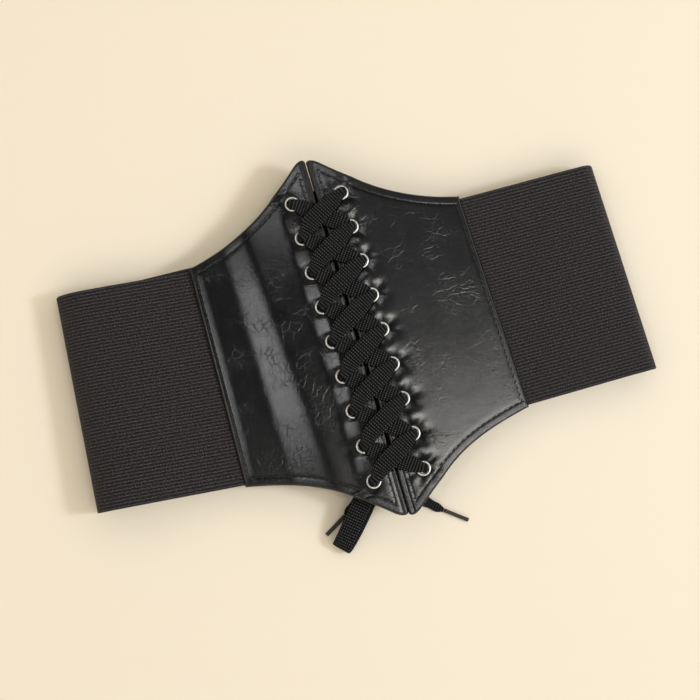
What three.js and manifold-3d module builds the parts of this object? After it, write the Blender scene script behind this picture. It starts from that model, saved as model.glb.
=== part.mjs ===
// A lace-up corset belt, lying on its back on a flat surface with its front up.
//
// Two stiff front panels of coated leather-cloth meet at the centre front in a
// high point above and below. One wide strip of ribbed elastic is sewn under
// their outer edges and runs round the back of the waist, so that the belt
// lies as a flattened loop. Nine pairs of metal eyelets carry one flat lace,
// tied behind the lower point in a bow whose loose ends lie on the surface.
//
// Millimetres, +Z up out of the front, +Y towards the wearer's head, +X to
// the wearer's left. The origin is on the surface, under the middle of the
// belt without its loose bow.
import * as THREE from "three";
import { mergeVertices } from "three/addons/utils/BufferGeometryUtils.js";
import Module from "manifold-3d";

// The air kept between two pieces that touch on the real belt.
const CLEARANCE = 0.3;

// Front panels
const PANEL_WALL = 2;
const PANEL_HALF_WIDTH = 77.5;
const PANEL_POINT_HEIGHT = 101;
const PANEL_SEAM_HEIGHT = 61;
const PANEL_SEAM_SLANT_DEG = 1.45;
const PANEL_POINT_ROUND = 6;
const CENTRE_GAP = 1;
const RIGHT_PANEL_DROP = 1;
const FRONT_HEIGHT = 22;
const FRONT_CROWN = 3.5;

// Elastic
const ELASTIC_WALL = 1.6;
const ELASTIC_HALF_HEIGHT = 60;
const ELASTIC_FOLD_HALF_HEIGHT = 58.5;
const WING_LENGTH = 78;
const SEAM_OVERLAP = 12;
const LEFT_FOLD_DEPTH = 15;
const RIGHT_FOLD_DEPTH = 8;
const LEFT_FOLD_THICKNESS_TOP = 19;
const LEFT_FOLD_THICKNESS_BOTTOM = 24;
const RIGHT_FOLD_THICKNESS = 18;

// Eyelets
const EYELET_ROWS = 9;
const EYELET_FROM_POINT = 22.6;
const EYELET_FROM_CENTRE = 13.8;
const EYELET_BORE_RADIUS = 2.6;
const EYELET_BARREL_WALL = 0.4;
const EYELET_RIM_RADIUS = 4.2;
const EYELET_RIM_RISE = 0.8;
const EYELET_RIM_ROUND = 0.5;
const EYELET_BACK_RIM_RADIUS = 4;
const EYELET_BACK_RIM_RISE = 0.7;
const EYELET_SIDES = 16;

// Lace
const LACE_WIDTH = 9.5;
const LACE_THICKNESS = 1.5;
const LACE_END_WIDTH = 5;
const LOOSE_LACE_WIDTH = 10.5;
const LACE_EDGE_ROUND = 0.5;
const AGLET_LENGTH = 14.5;
const AGLET_RADIUS = 1.1;
const AGLET_SIDES = 10;
const KNOT_SIZE = new THREE.Vector3(12, 11, 8);
const KNOT_MIDDLE = new THREE.Vector3(-2, -70, 10);

// The panel's upper edge past its rounded point: a straight and then a hollow
// curve to the side seam. across is a share of the half width, and rise a
// share of the height that the point stands above the seam.
const PANEL_EDGE = {
  straightStart: { across: 0.12, rise: 0.885 },
  straightMiddle: { across: 0.2, rise: 0.752 },
  straightEnd: { across: 0.3, rise: 0.6 },
  hollow: { across: 0.55, rise: 0.18 },
};

// How the panels swell between the centre and the side seams. across is a
// share of the half width and lift a share of the crown.
const LEFT_SWELL = [
  { across: 0, lift: 0.9 },
  { across: 0.08, lift: 1 },
  { across: 0.26, lift: 1 },
  { across: 0.38, lift: 0.7 },
  { across: 0.52, lift: 0.62 },
  { across: 0.74, lift: 0.06 },
  { across: 1, lift: 0 },
];
const RIGHT_SWELL = [
  { across: 0, lift: 0.9 },
  { across: 0.08, lift: 1 },
  { across: 0.26, lift: 1 },
  { across: 0.6, lift: 0.85 },
  { across: 1, lift: 0 },
];

// How the elastic lies skewed on the surface, line by line. drift is how far
// the line's middle lies towards the head, as a share of the elastic's half
// height, and turn is the line's slant in degrees.
const LIE = {
  leftFold: { drift: 0.108, turn: 5.3 },
  leftSeam: { drift: 0, turn: PANEL_SEAM_SLANT_DEG },
  rightSeam: { drift: -0.017, turn: -PANEL_SEAM_SLANT_DEG },
  rightFold: { drift: -0.06, turn: -0.4 },
};

// How a strand of the lace turns up out of an eyelet and flattens, from the
// bore outwards. reach is how far it has gone along the strand and sunk how
// far it still is below its full height, both in lace thicknesses. width is a
// share of the lace's width, and flat says how far its faces have turned from
// the way that they lie in the bore to the way that they lie on the strand.
const LACE_TURN = [
  { reach: 0.27, sunk: 0.27, width: 0.36, flat: 0 },
  { reach: 2.4, sunk: 0, width: 0.6, flat: 0.5 },
];
const LACE_FULL_WIDTH_FROM = 0.3;

// The share of a tail's length from which it narrows towards its tip.
const TAIL_NARROWS_FROM = 0.55;

// How far inside an eyelet's rim the lace starts to turn.
const BORE_END = 0.4;

// The loose bow. Each route starts at the knot; the loops come back to it.
const LEFT_LOOP_ROUTE = [
  [-5.8, -74.3, 12.1],
  [-9.4, -76.4, 12.8],
  [-13, -78.6, 13.1],
  [-18, -83.4, 13],
  [-23.4, -89, 12.2],
  [-28.8, -95.2, 11],
  [-34.4, -101.8, 9.4],
  [-38.4, -106.4, 7.4],
  [-39.8, -108.2, 4.9],
  [-37.8, -107.4, 2.3],
  [-34, -104.2, 1.3],
  [-28.8, -98.8, 3],
  [-23.4, -92.6, 5.4],
  [-18, -86.2, 7.4],
  [-12.6, -80, 8.5],
  [-9, -76.7, 8.7],
  [-6, -74.5, 8.6],
];
const RIGHT_LOOP_ROUTE = [
  [4, -70, 12.1],
  [10, -70.1, 12.8],
  [17, -70.2, 12.2],
  [24, -70.3, 10.8],
  [30, -70.4, 9],
  [34.2, -70.5, 7.2],
  [35.6, -70.5, 4.8],
  [34.6, -70.5, 2.4],
  [31.4, -70.4, 1.2],
  [26, -70.3, 1.8],
  [19, -70.2, 4.6],
  [11, -70.1, 7.6],
  [4.3, -70, 8.6],
];
const LEFT_TAIL_ROUTE = [
  [-3.4, -71.6, 5.2],
  [-7.4, -75.6, 4.2],
  [-12.4, -79.8, 2.4],
  [-17, -82.8, 1.4],
  [-22, -85.6, 1.2],
  [-27, -88.6, 1.2],
  [-30.2, -90.6, 1.2],
  [-32.6, -92, 1.2],
];
const RIGHT_TAIL_ROUTE = [
  [0.1, -74.6, 7.1],
  [1.2, -79, 6.1],
  [3.4, -84, 4.5],
  [6.2, -89.6, 3.2],
  [10, -95, 2.1],
  [14.2, -99.4, 1.4],
  [17.4, -102.4, 1.2],
  [20.2, -104.6, 1.2],
];

const wasm = await Module();
wasm.setup();

const leatherCloth = new THREE.MeshStandardMaterial({
  color: 0x161617,
  roughness: 0.3,
});
const ribbedElastic = new THREE.MeshStandardMaterial({
  color: 0x1c1a1c,
  roughness: 0.9,
});
const braid = new THREE.MeshStandardMaterial({
  color: 0x131313,
  roughness: 0.85,
});
const nickel = new THREE.MeshStandardMaterial({
  color: 0xd8d8d4,
  roughness: 0.25,
  metalness: 1,
});
const hardTip = new THREE.MeshStandardMaterial({
  color: 0x1d1712,
  roughness: 0.4,
});

const radians = THREE.MathUtils.degToRad;
const blend = THREE.MathUtils.lerp;

// A value between two others, level at both ends.
function ease(from, to, share) {
  return blend(from, to, THREE.MathUtils.smoothstep(share, 0, 1));
}

// The height of the front panels' outer face, x from the centre front.
function panelFace(x) {
  const rows = x < 0 ? LEFT_SWELL : RIGHT_SWELL;
  const across = Math.min(Math.abs(x) / PANEL_HALF_WIDTH, 1);
  const next = Math.max(
    rows.findIndex((row) => row.across >= across),
    1,
  );
  const [a, b] = [rows[next - 1], rows[next]];
  const lift = ease(a.lift, b.lift, (across - a.across) / (b.across - a.across));
  return FRONT_HEIGHT - FRONT_CROWN * (1 - lift);
}

const EYELET_FACE = panelFace(EYELET_FROM_CENTRE);
const EYELET_RIM_TOP = CLEARANCE + EYELET_RIM_RISE;
const EYELET_PITCH =
  (2 * (PANEL_POINT_HEIGHT - EYELET_FROM_POINT)) / (EYELET_ROWS - 1);
const EYELET_BARREL_RADIUS = EYELET_BORE_RADIUS + EYELET_BARREL_WALL;

// Two runs of the lace share each bore, side by side and folded narrow.
const BORE_ROOM = EYELET_BORE_RADIUS - CLEARANCE;
const RUN_IN_BORE = { width: 1.65 * BORE_ROOM, thickness: 0.74 * BORE_ROOM };
const RUN_FROM_BORE_MIDDLE = RUN_IN_BORE.thickness / 2 + 0.7 * CLEARANCE;

// How far the two runs lie from the middle of the panel's wall: the inner run
// next to the eyelets' rims, the outer run over it.
const PANEL_MIDDLE = EYELET_FACE - PANEL_WALL / 2;
const RIM_FROM_MIDDLE = PANEL_WALL / 2 + EYELET_RIM_TOP;
const INNER_RUN = RIM_FROM_MIDDLE + CLEARANCE + LACE_THICKNESS / 2;
const OUTER_RUN = INNER_RUN + LACE_THICKNESS + CLEARANCE;
const HEADWARDS = new THREE.Vector3(0, 1, 0);

// A closed solid through rings of points, each ring convex or a plain quad.
function loft(rings) {
  const sides = rings[0].length;
  const positions = rings.flat().flatMap((p) => p.toArray());
  const index = [];
  for (let i = 0; i + 1 < rings.length; i += 1) {
    for (let j = 0; j < sides; j += 1) {
      const a = i * sides + j;
      const b = i * sides + ((j + 1) % sides);
      index.push(a, b, a + sides, b, b + sides, a + sides);
    }
  }
  const last = (rings.length - 1) * sides;
  for (let j = 1; j + 1 < sides; j += 1) {
    index.push(0, j + 1, j);
    index.push(last, last + j, last + j + 1);
  }
  const geometry = new THREE.BufferGeometry();
  geometry.setAttribute(
    "position",
    new THREE.Float32BufferAttribute(positions, 3),
  );
  geometry.setIndex(index);
  return facingOut(geometry);
}

// The same solid with its faces pointing out, whichever way it was wound.
function facingOut(geometry) {
  const p = geometry.getAttribute("position");
  const index = geometry.index.array;
  const [a, b, c] = [0, 1, 2].map(() => new THREE.Vector3());
  let volume = 0;
  for (let i = 0; i < index.length; i += 3) {
    a.fromBufferAttribute(p, index[i]);
    b.fromBufferAttribute(p, index[i + 1]);
    c.fromBufferAttribute(p, index[i + 2]);
    volume += a.dot(b.cross(c));
  }
  if (volume < 0) {
    for (let i = 0; i < index.length; i += 3) {
      [index[i + 1], index[i + 2]] = [index[i + 2], index[i + 1]];
    }
  }
  return geometry;
}

function toSolid(geometry) {
  const bare = new THREE.BufferGeometry();
  bare.setAttribute("position", geometry.getAttribute("position"));
  bare.setIndex(geometry.index);
  const merged = mergeVertices(bare, 1e-4);
  return new wasm.Manifold(
    new wasm.Mesh({
      numProp: 3,
      vertProperties: new Float32Array(merged.getAttribute("position").array),
      triVerts: new Uint32Array(merged.index.array),
    }),
  );
}

function fromSolid(solid) {
  const { vertProperties, triVerts } = solid.getMesh();
  const geometry = new THREE.BufferGeometry();
  geometry.setAttribute(
    "position",
    new THREE.BufferAttribute(vertProperties, 3),
  );
  geometry.setIndex(new THREE.BufferAttribute(triVerts, 1));
  return geometry;
}

function piece(name, geometry, material) {
  geometry.computeVertexNormals();
  const mesh = new THREE.Mesh(geometry, material);
  mesh.name = name;
  return mesh;
}

// The panel's upper outline, from the centre front to the side seam.
function panelEdgePoints() {
  const rise = PANEL_POINT_HEIGHT - PANEL_SEAM_HEIGHT;
  const place = ({ across, rise: share }) => [
    across * PANEL_HALF_WIDTH,
    PANEL_SEAM_HEIGHT + share * rise,
  ];
  const edge = new THREE.Path();
  edge.moveTo(CENTRE_GAP / 2, PANEL_POINT_HEIGHT - PANEL_POINT_ROUND / 4);
  edge.quadraticCurveTo(
    PANEL_POINT_ROUND / 2,
    PANEL_POINT_HEIGHT + PANEL_POINT_ROUND / 4,
    ...place(PANEL_EDGE.straightStart),
  );
  edge.lineTo(...place(PANEL_EDGE.straightMiddle));
  edge.lineTo(...place(PANEL_EDGE.straightEnd));
  edge.quadraticCurveTo(
    ...place(PANEL_EDGE.hollow),
    PANEL_HALF_WIDTH,
    PANEL_SEAM_HEIGHT,
  );
  return edge.getPoints(12);
}

// One front panel: a curved wall with its nine eyelet holes. side is -1 for
// the left of the picture and 1 for the right.
function panel(side) {
  const slant = Math.tan(radians(PANEL_SEAM_SLANT_DEG));
  const drop = panelDrop(side);
  const at = (x, y, z) =>
    new THREE.Vector3(
      side * (x - (x / PANEL_HALF_WIDTH) * y * slant),
      y - drop,
      z,
    );
  const rings = panelEdgePoints().map(({ x, y }) => {
    const face = panelFace(side * x);
    return [
      at(x, y, face),
      at(x, -y, face),
      at(x, -y, face - PANEL_WALL),
      at(x, y, face - PANEL_WALL),
    ];
  });
  let solid = toSolid(loft(rings));
  const radius = EYELET_BARREL_RADIUS + CLEARANCE;
  for (let row = 1; row <= EYELET_ROWS; row += 1) {
    const { x, y } = eyeletMiddle(side, row);
    const hole = new THREE.CylinderGeometry(
      radius,
      radius,
      4 * PANEL_WALL,
      EYELET_SIDES,
    );
    hole.rotateX(Math.PI / 2).translate(x, y, EYELET_FACE - PANEL_WALL / 2);
    hole.deleteAttribute("normal");
    hole.deleteAttribute("uv");
    solid = solid.subtract(toSolid(hole));
  }
  return fromSolid(solid);
}

// How far a panel lies from level: the right one sits a little lower.
function panelDrop(side) {
  return side > 0 ? RIGHT_PANEL_DROP : 0;
}

// The middle of an eyelet, on the panel's outer face. Row 1 is nearest the head.
function eyeletMiddle(side, row) {
  const fromMiddle = (EYELET_ROWS + 1) / 2 - row;
  return new THREE.Vector3(
    side * EYELET_FROM_CENTRE,
    fromMiddle * EYELET_PITCH - panelDrop(side),
    EYELET_FACE,
  );
}

// One eyelet: a short tube through the panel, with a rim on its outer face and
// a flatter one rolled over at the back.
function eyelet() {
  const seat = -PANEL_WALL - CLEARANCE;
  const back = seat - EYELET_BACK_RIM_RISE;
  const profile = [
    [EYELET_BORE_RADIUS, back],
    [EYELET_BACK_RIM_RADIUS, back],
    [EYELET_BACK_RIM_RADIUS, seat],
    [EYELET_BARREL_RADIUS, seat],
    [EYELET_BARREL_RADIUS, CLEARANCE],
    [EYELET_RIM_RADIUS, CLEARANCE],
    [EYELET_RIM_RADIUS - EYELET_RIM_ROUND, EYELET_RIM_TOP],
    [EYELET_BARREL_RADIUS, EYELET_RIM_TOP],
    [EYELET_BORE_RADIUS, back],
  ].map(([r, z]) => new THREE.Vector2(r, z));
  const geometry = new THREE.LatheGeometry(profile, EYELET_SIDES);
  geometry.rotateX(Math.PI / 2);
  return geometry;
}

// The loop of elastic, seen from its edge: from under the left panel, round
// the left fold, along the back, round the right fold to under the right
// panel. Each point has its distance along the front, its height, and the
// share of the way between the two named lines that it lies by.
function elasticProfile(leftThickness, rightThickness) {
  const outer = PANEL_HALF_WIDTH + WING_LENGTH;
  const half = ELASTIC_WALL / 2;
  const points = [];
  const side = (sign, thickness, depth) => {
    const front = thickness - half;
    const underPanel = (x) => panelFace(x) - PANEL_WALL - CLEARANCE - half;
    const inner = PANEL_HALF_WIDTH - SEAM_OVERLAP;
    const seam = underPanel(sign * PANEL_HALF_WIDTH);
    const foldStart = outer - depth;
    const list = [inner, (inner + PANEL_HALF_WIDTH) / 2, PANEL_HALF_WIDTH].map(
      (x) => ({ x: sign * x, z: underPanel(sign * x), layer: "front" }),
    );
    for (const share of [0.2, 0.4, 0.6, 0.8, 1]) {
      list.push({
        x: sign * blend(PANEL_HALF_WIDTH, foldStart, share),
        z: ease(seam, front, share),
        layer: "front",
      });
    }
    const steps = 10;
    for (let i = 1; i < steps; i += 1) {
      const angle = (Math.PI * i) / steps;
      list.push({
        x: sign * (foldStart + (depth - half) * Math.sin(angle)),
        z: (front + half) / 2 + ((front - half) / 2) * Math.cos(angle),
        layer: i < steps / 2 ? "front" : "back",
      });
    }
    list.push({ x: sign * foldStart, z: half, layer: "back" });
    return list;
  };
  points.push(...side(-1, leftThickness, LEFT_FOLD_DEPTH));
  points.push(...side(1, rightThickness, RIGHT_FOLD_DEPTH).reverse());
  return points;
}

// The profile moved out or in by a distance along its own normal.
function offsetProfile(points, distance) {
  return points.map((point, i) => {
    const before = points[Math.max(i - 1, 0)];
    const after = points[Math.min(i + 1, points.length - 1)];
    const along = new THREE.Vector2(
      after.x - before.x,
      after.z - before.z,
    ).normalize();
    return {
      ...point,
      x: point.x + along.y * distance,
      z: point.z - along.x * distance,
    };
  });
}

// Where a line across the elastic lies: how far it has drifted and turned.
function lieAt(x, layer) {
  const outer = PANEL_HALF_WIDTH + WING_LENGTH;
  const mix = (a, b, share) => ({
    drift: blend(a.drift, b.drift, share),
    turn: blend(a.turn, b.turn, share),
  });
  if (layer === "back") {
    return mix(LIE.leftFold, LIE.rightFold, (x + outer) / (2 * outer));
  }
  const beyond = (Math.abs(x) - PANEL_HALF_WIDTH) / WING_LENGTH;
  const share = THREE.MathUtils.clamp(beyond, 0, 1);
  return x < 0
    ? mix(LIE.leftSeam, LIE.leftFold, share)
    : mix(LIE.rightSeam, LIE.rightFold, share);
}

// The elastic: one strip, lofted between its head-side and its lower edge.
function elasticBand() {
  const half = ELASTIC_WALL / 2;
  const rail = (leftThickness, v) => {
    const middle = elasticProfile(leftThickness, RIGHT_FOLD_THICKNESS);
    return [half, -half].map((distance) =>
      offsetProfile(middle, distance).map(({ x, z }, i) => {
        const { layer, x: x0 } = middle[i];
        const lie = lieAt(x0, layer);
        const beyond = (Math.abs(x0) - PANEL_HALF_WIDTH) / WING_LENGTH;
        const narrowing = layer === "back" ? 1 : Math.max(beyond, 0);
        const height = blend(
          ELASTIC_HALF_HEIGHT,
          ELASTIC_FOLD_HALF_HEIGHT,
          Math.min(narrowing, 1),
        );
        const turn = radians(lie.turn);
        return new THREE.Vector3(
          x + v * height * Math.sin(turn),
          v * height * Math.cos(turn) + lie.drift * ELASTIC_HALF_HEIGHT,
          z,
        );
      }),
    );
  };
  const [topOut, topIn] = rail(LEFT_FOLD_THICKNESS_TOP, 1);
  const [lowOut, lowIn] = rail(LEFT_FOLD_THICKNESS_BOTTOM, -1);
  const rings = topOut.map((p, i) => [p, lowOut[i], lowIn[i], topIn[i]]);
  return loft(rings);
}

// A flat braid through stations, each with its middle, the direction across
// it, its width and its thickness. Its long edges are bevelled.
function ribbon(stations) {
  const rings = stations.map((s, i) => {
    const before = stations[Math.max(i - 1, 0)].middle;
    const after = stations[Math.min(i + 1, stations.length - 1)].middle;
    const along = s.along ?? after.clone().sub(before);
    along.normalize();
    const across = s.across.clone().addScaledVector(along, -s.across.dot(along));
    across.normalize();
    const up = along.clone().cross(across);
    const edge = s.width / 2 - LACE_EDGE_ROUND;
    const face = s.thickness / 2;
    return [
      [s.width / 2, 0],
      [edge, face],
      [-edge, face],
      [-s.width / 2, 0],
      [-edge, -face],
      [edge, -face],
    ].map(([u, v]) =>
      s.middle.clone().addScaledVector(across, u).addScaledVector(up, v),
    );
  });
  return loft(rings);
}

// The lace inside a bore, at a height over the middle of the panel's wall.
function inBore(e, isInner, height, along) {
  const outwards = (isInner ? -1 : 1) * Math.sign(e.x);
  const x = e.x + outwards * RUN_FROM_BORE_MIDDLE;
  return {
    middle: new THREE.Vector3(x, e.y, PANEL_MIDDLE + height),
    across: HEADWARDS,
    along,
    ...RUN_IN_BORE,
  };
}

// Half a strand, from the eyelet e towards its middle. direction points along
// the strand, and face is 1 in front of the panels or -1 behind them.
function halfStrand(e, direction, span, run, face) {
  const isInner = run === INNER_RUN;
  const flatAcross = new THREE.Vector3(-direction.y, direction.x, 0);
  if (flatAcross.y < 0) {
    flatAcross.negate();
  }
  const upright = new THREE.Vector3(0, 0, face);
  const list = [inBore(e, isInner, face * (RIM_FROM_MIDDLE - BORE_END), upright)];
  if (!isInner) {
    list.push(inBore(e, isInner, face * (run - LACE_THICKNESS), upright));
  }
  for (const { reach, sunk, width, flat } of LACE_TURN) {
    const height = face * (run - sunk * LACE_THICKNESS);
    const start = flat ? e.clone() : inBore(e, isInner, 0, upright).middle;
    list.push({
      middle: start
        .addScaledVector(direction, reach * LACE_THICKNESS)
        .setZ(PANEL_MIDDLE + height),
      across: HEADWARDS.clone().lerp(flatAcross, flat).normalize(),
      along: flat ? undefined : upright.clone().add(direction),
      width: width * LACE_WIDTH,
      thickness: LACE_THICKNESS,
    });
  }
  // The inner run sinks to the panels between the eyelets.
  const sag = isInner && face > 0 ? EYELET_RIM_TOP : 0;
  list.push({
    middle: e
      .clone()
      .addScaledVector(direction, LACE_FULL_WIDTH_FROM * span)
      .setZ(PANEL_MIDDLE + face * (run - sag)),
    across: flatAcross,
    width: LACE_WIDTH,
    thickness: LACE_THICKNESS,
  });
  return list;
}

// The same stations, run through the other way.
function turnedRound(stations) {
  return stations
    .map((s) => ({ ...s, along: s.along?.clone().negate() }))
    .reverse();
}

// The lace from one eyelet to another, with its turn into each.
function strand(from, to, run, face) {
  const direction = to.clone().sub(from);
  const span = direction.length();
  direction.normalize();
  const back = direction.clone().negate();
  return [
    ...halfStrand(from, direction, span, run, face),
    ...turnedRound(halfStrand(to, back, span, run, face)),
  ];
}

// One end of the lace, from the last eyelet to the top of the knot.
function laceEnd(side, run) {
  const e = eyeletMiddle(side, EYELET_ROWS);
  const isInner = run === INNER_RUN;
  const toKnot = KNOT_MIDDLE.clone().sub(e).setZ(0).normalize();
  const down = new THREE.Vector3(0, 0, -1);
  const onKnot = KNOT_MIDDLE.clone().addScaledVector(toKnot, -KNOT_SIZE.x / 4);
  onKnot.z += KNOT_SIZE.z / 2 + CLEARANCE + LACE_THICKNESS / 2;
  const [turn, behind] = LACE_TURN;
  const height = turn.sunk * LACE_THICKNESS - INNER_RUN;
  const turning = inBore(e, isInner, height, down.clone().add(toKnot));
  turning.middle.addScaledVector(toKnot, turn.reach * LACE_THICKNESS);
  const flat = {
    across: HEADWARDS,
    width: LACE_END_WIDTH,
    thickness: LACE_THICKNESS,
  };
  return [
    inBore(e, isInner, BORE_END - RIM_FROM_MIDDLE, down),
    { ...turning, thickness: LACE_THICKNESS },
    {
      ...flat,
      middle: e
        .clone()
        .addScaledVector(toKnot, behind.reach * LACE_THICKNESS)
        .setZ(PANEL_MIDDLE - INNER_RUN - CLEARANCE),
    },
    { ...flat, middle: onKnot, along: toKnot },
  ];
}

// The whole laced run, as one flat lace: up the belt from the knot over the
// front as the outer run, behind the first pair of eyelets, and down again
// beneath it as the inner run. It goes straight across behind each pair.
function lace() {
  const stations = [];
  stations.push(...turnedRound(laceEnd(-1, OUTER_RUN)));
  for (let row = EYELET_ROWS; row > 1; row -= 1) {
    const [from, to] = [eyeletMiddle(-1, row), eyeletMiddle(1, row - 1)];
    stations.push(...strand(from, to, OUTER_RUN, 1));
    if (row > 2) {
      const back = eyeletMiddle(-1, row - 1);
      stations.push(...strand(to, back, OUTER_RUN, -1));
    }
  }
  const [topRight, topLeft] = [eyeletMiddle(1, 1), eyeletMiddle(-1, 1)];
  stations.push(...strand(topRight, topLeft, INNER_RUN, -1));
  for (let row = 1; row < EYELET_ROWS; row += 1) {
    const [from, to] = [eyeletMiddle(-1, row), eyeletMiddle(1, row + 1)];
    stations.push(...strand(from, to, INNER_RUN, 1));
    if (row + 1 < EYELET_ROWS) {
      const back = eyeletMiddle(-1, row + 1);
      stations.push(...strand(to, back, INNER_RUN, -1));
    }
  }
  stations.push(...laceEnd(1, INNER_RUN));
  return ribbon(stations);
}

// A loose stretch of the lace along a route, its flat side level across. A
// tail narrows at its far end, where the aglet grips it.
function looseLace(route, narrows) {
  const line = new THREE.CatmullRomCurve3(
    route.map((p) => new THREE.Vector3(...p)),
    false,
    "centripetal",
  );
  const first = new THREE.Vector3(...route[0]);
  const middle = new THREE.Vector3(...route[Math.floor(route.length / 2)]);
  const run = middle.sub(first).setZ(0).normalize();
  const loopAcross = new THREE.Vector3(-run.y, run.x, 0);
  const steps = route.length + 3;
  const stations = [];
  for (let i = 0; i <= steps; i += 1) {
    const share = i / steps;
    const along = line.getTangentAt(share);
    const across = narrows
      ? new THREE.Vector3(-along.y, along.x, 0).normalize()
      : loopAcross;
    const gripped = narrows
      ? THREE.MathUtils.smoothstep(share, TAIL_NARROWS_FROM, 1)
      : 0;
    stations.push({
      middle: line.getPointAt(share),
      along,
      across,
      width: blend(LOOSE_LACE_WIDTH, 2 * AGLET_RADIUS, gripped),
      thickness: LACE_THICKNESS,
    });
  }
  return ribbon(stations);
}

// The hard tip on a tail, in line with its end and level on the surface.
function aglet(route) {
  const last = new THREE.Vector3(...route[route.length - 1]);
  const before = new THREE.Vector3(...route[route.length - 2]);
  const along = last.clone().sub(before).setZ(0).normalize();
  const geometry = new THREE.CylinderGeometry(
    AGLET_RADIUS,
    AGLET_RADIUS,
    AGLET_LENGTH,
    AGLET_SIDES,
  );
  geometry.applyQuaternion(
    new THREE.Quaternion().setFromUnitVectors(HEADWARDS, along),
  );
  const middle = last.addScaledVector(along, CLEARANCE + AGLET_LENGTH / 2);
  geometry.translate(middle.x, middle.y, middle.z);
  return geometry;
}

function knot() {
  const geometry = new THREE.SphereGeometry(0.5, 12, 8);
  geometry.rotateX(Math.PI / 2);
  geometry.scale(KNOT_SIZE.x, KNOT_SIZE.y, KNOT_SIZE.z);
  geometry.translate(KNOT_MIDDLE.x, KNOT_MIDDLE.y, KNOT_MIDDLE.z);
  return geometry;
}

const belt = new THREE.Group();
belt.add(piece("left_panel", panel(-1), leatherCloth));
belt.add(piece("right_panel", panel(1), leatherCloth));
belt.add(piece("elastic_band", elasticBand(), ribbedElastic));
for (const [name, side] of [
  ["left", -1],
  ["right", 1],
]) {
  for (let row = 1; row <= EYELET_ROWS; row += 1) {
    const ring = piece(`${name}_eyelet_${row}`, eyelet(), nickel);
    ring.position.copy(eyeletMiddle(side, row));
    belt.add(ring);
  }
}
belt.add(piece("lace", lace(), braid));

const bow = new THREE.Group();
bow.add(piece("bow_knot", knot(), braid));
bow.add(piece("left_loop", looseLace(LEFT_LOOP_ROUTE, false), braid));
bow.add(piece("right_loop", looseLace(RIGHT_LOOP_ROUTE, false), braid));
bow.add(piece("left_tail", looseLace(LEFT_TAIL_ROUTE, true), braid));
bow.add(piece("right_tail", looseLace(RIGHT_TAIL_ROUTE, true), braid));
bow.add(piece("left_aglet", aglet(LEFT_TAIL_ROUTE), hardTip));
bow.add(piece("right_aglet", aglet(RIGHT_TAIL_ROUTE), hardTip));

// The origin is under the middle of the belt without its loose bow.
const box = new THREE.Box3().setFromObject(belt);
const middle = box.getCenter(new THREE.Vector3());
const group = new THREE.Group();
group.add(belt, bow);
group.position.set(-middle.x, -middle.y, -box.min.z);

export default group;
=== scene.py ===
"""The finished look of a lace-up corset belt that lies on its back with its front up.

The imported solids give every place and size. Shapes here are in millimetres in
the same frame, and become metres when a mesh is made.
"""

import math

import bpy
import numpy as np
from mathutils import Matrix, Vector


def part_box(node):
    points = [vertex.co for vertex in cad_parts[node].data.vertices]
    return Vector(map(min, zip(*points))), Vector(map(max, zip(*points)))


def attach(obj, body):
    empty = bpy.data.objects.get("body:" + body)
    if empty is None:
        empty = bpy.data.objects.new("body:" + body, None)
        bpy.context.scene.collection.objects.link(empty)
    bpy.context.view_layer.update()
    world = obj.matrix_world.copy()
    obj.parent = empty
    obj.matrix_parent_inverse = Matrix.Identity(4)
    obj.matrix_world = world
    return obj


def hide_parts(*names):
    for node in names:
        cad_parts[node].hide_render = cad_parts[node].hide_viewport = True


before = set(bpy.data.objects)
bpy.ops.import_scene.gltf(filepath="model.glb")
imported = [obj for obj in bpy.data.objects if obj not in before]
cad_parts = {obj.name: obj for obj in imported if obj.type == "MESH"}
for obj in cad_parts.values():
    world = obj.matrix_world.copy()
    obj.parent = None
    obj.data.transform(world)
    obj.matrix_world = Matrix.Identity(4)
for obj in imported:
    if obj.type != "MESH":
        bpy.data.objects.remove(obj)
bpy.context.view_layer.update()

# The camera.
# It looks down on the belt from a little to its left and foot side, and is
# rolled so that the belt lies turned in the picture.

CAMERA_PLACE = (-0.0678, -0.0712, 0.770)
CAMERA_TURN_DEG = (6.11, -3.315, -16.46)
CAMERA_LENS = 71.69

camera_data = bpy.data.cameras.new("camera")
camera_data.lens = CAMERA_LENS
camera_data.sensor_width = 36.0
camera = bpy.data.objects.new("camera", camera_data)
camera.location = CAMERA_PLACE
camera.rotation_euler = [math.radians(a) for a in CAMERA_TURN_DEG]
bpy.context.scene.collection.objects.link(camera)
bpy.context.scene.camera = camera

# The bow.
# It ties the lace behind the lower point: two loops, two tails and the knot.
# The lace is a flat polyester braid, and each tail ends in a hard dark tip.

MM = 0.001
LOOSE_LACE_WIDTH = 10.5
LACE_THICKNESS = 1.5
LACE_RIBS = 8
LACE_RIB_HEIGHT = 0.2
LACE_BAR_PITCH = 1.5
LACE_STEP = 0.8
KNOT_WIDTH = 5.0
KNOT_SLANT = 0.35
KNOT_GROOVE = {"from_middle": 0.42, "depth": 0.12}
KNOT_RIB = {"height": 0.018, "turns": 26}
LOOP_NECK_WIDTH = 8.6
TAIL_NECK_WIDTH = 8.0
TAIL_END_WIDTH = 5.0
AGLET_RADIUS = 1.1
AGLET_LENGTH = 14.5
AGLET_GAP = 0.3
AGLET_GRAIN = 0.714

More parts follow.
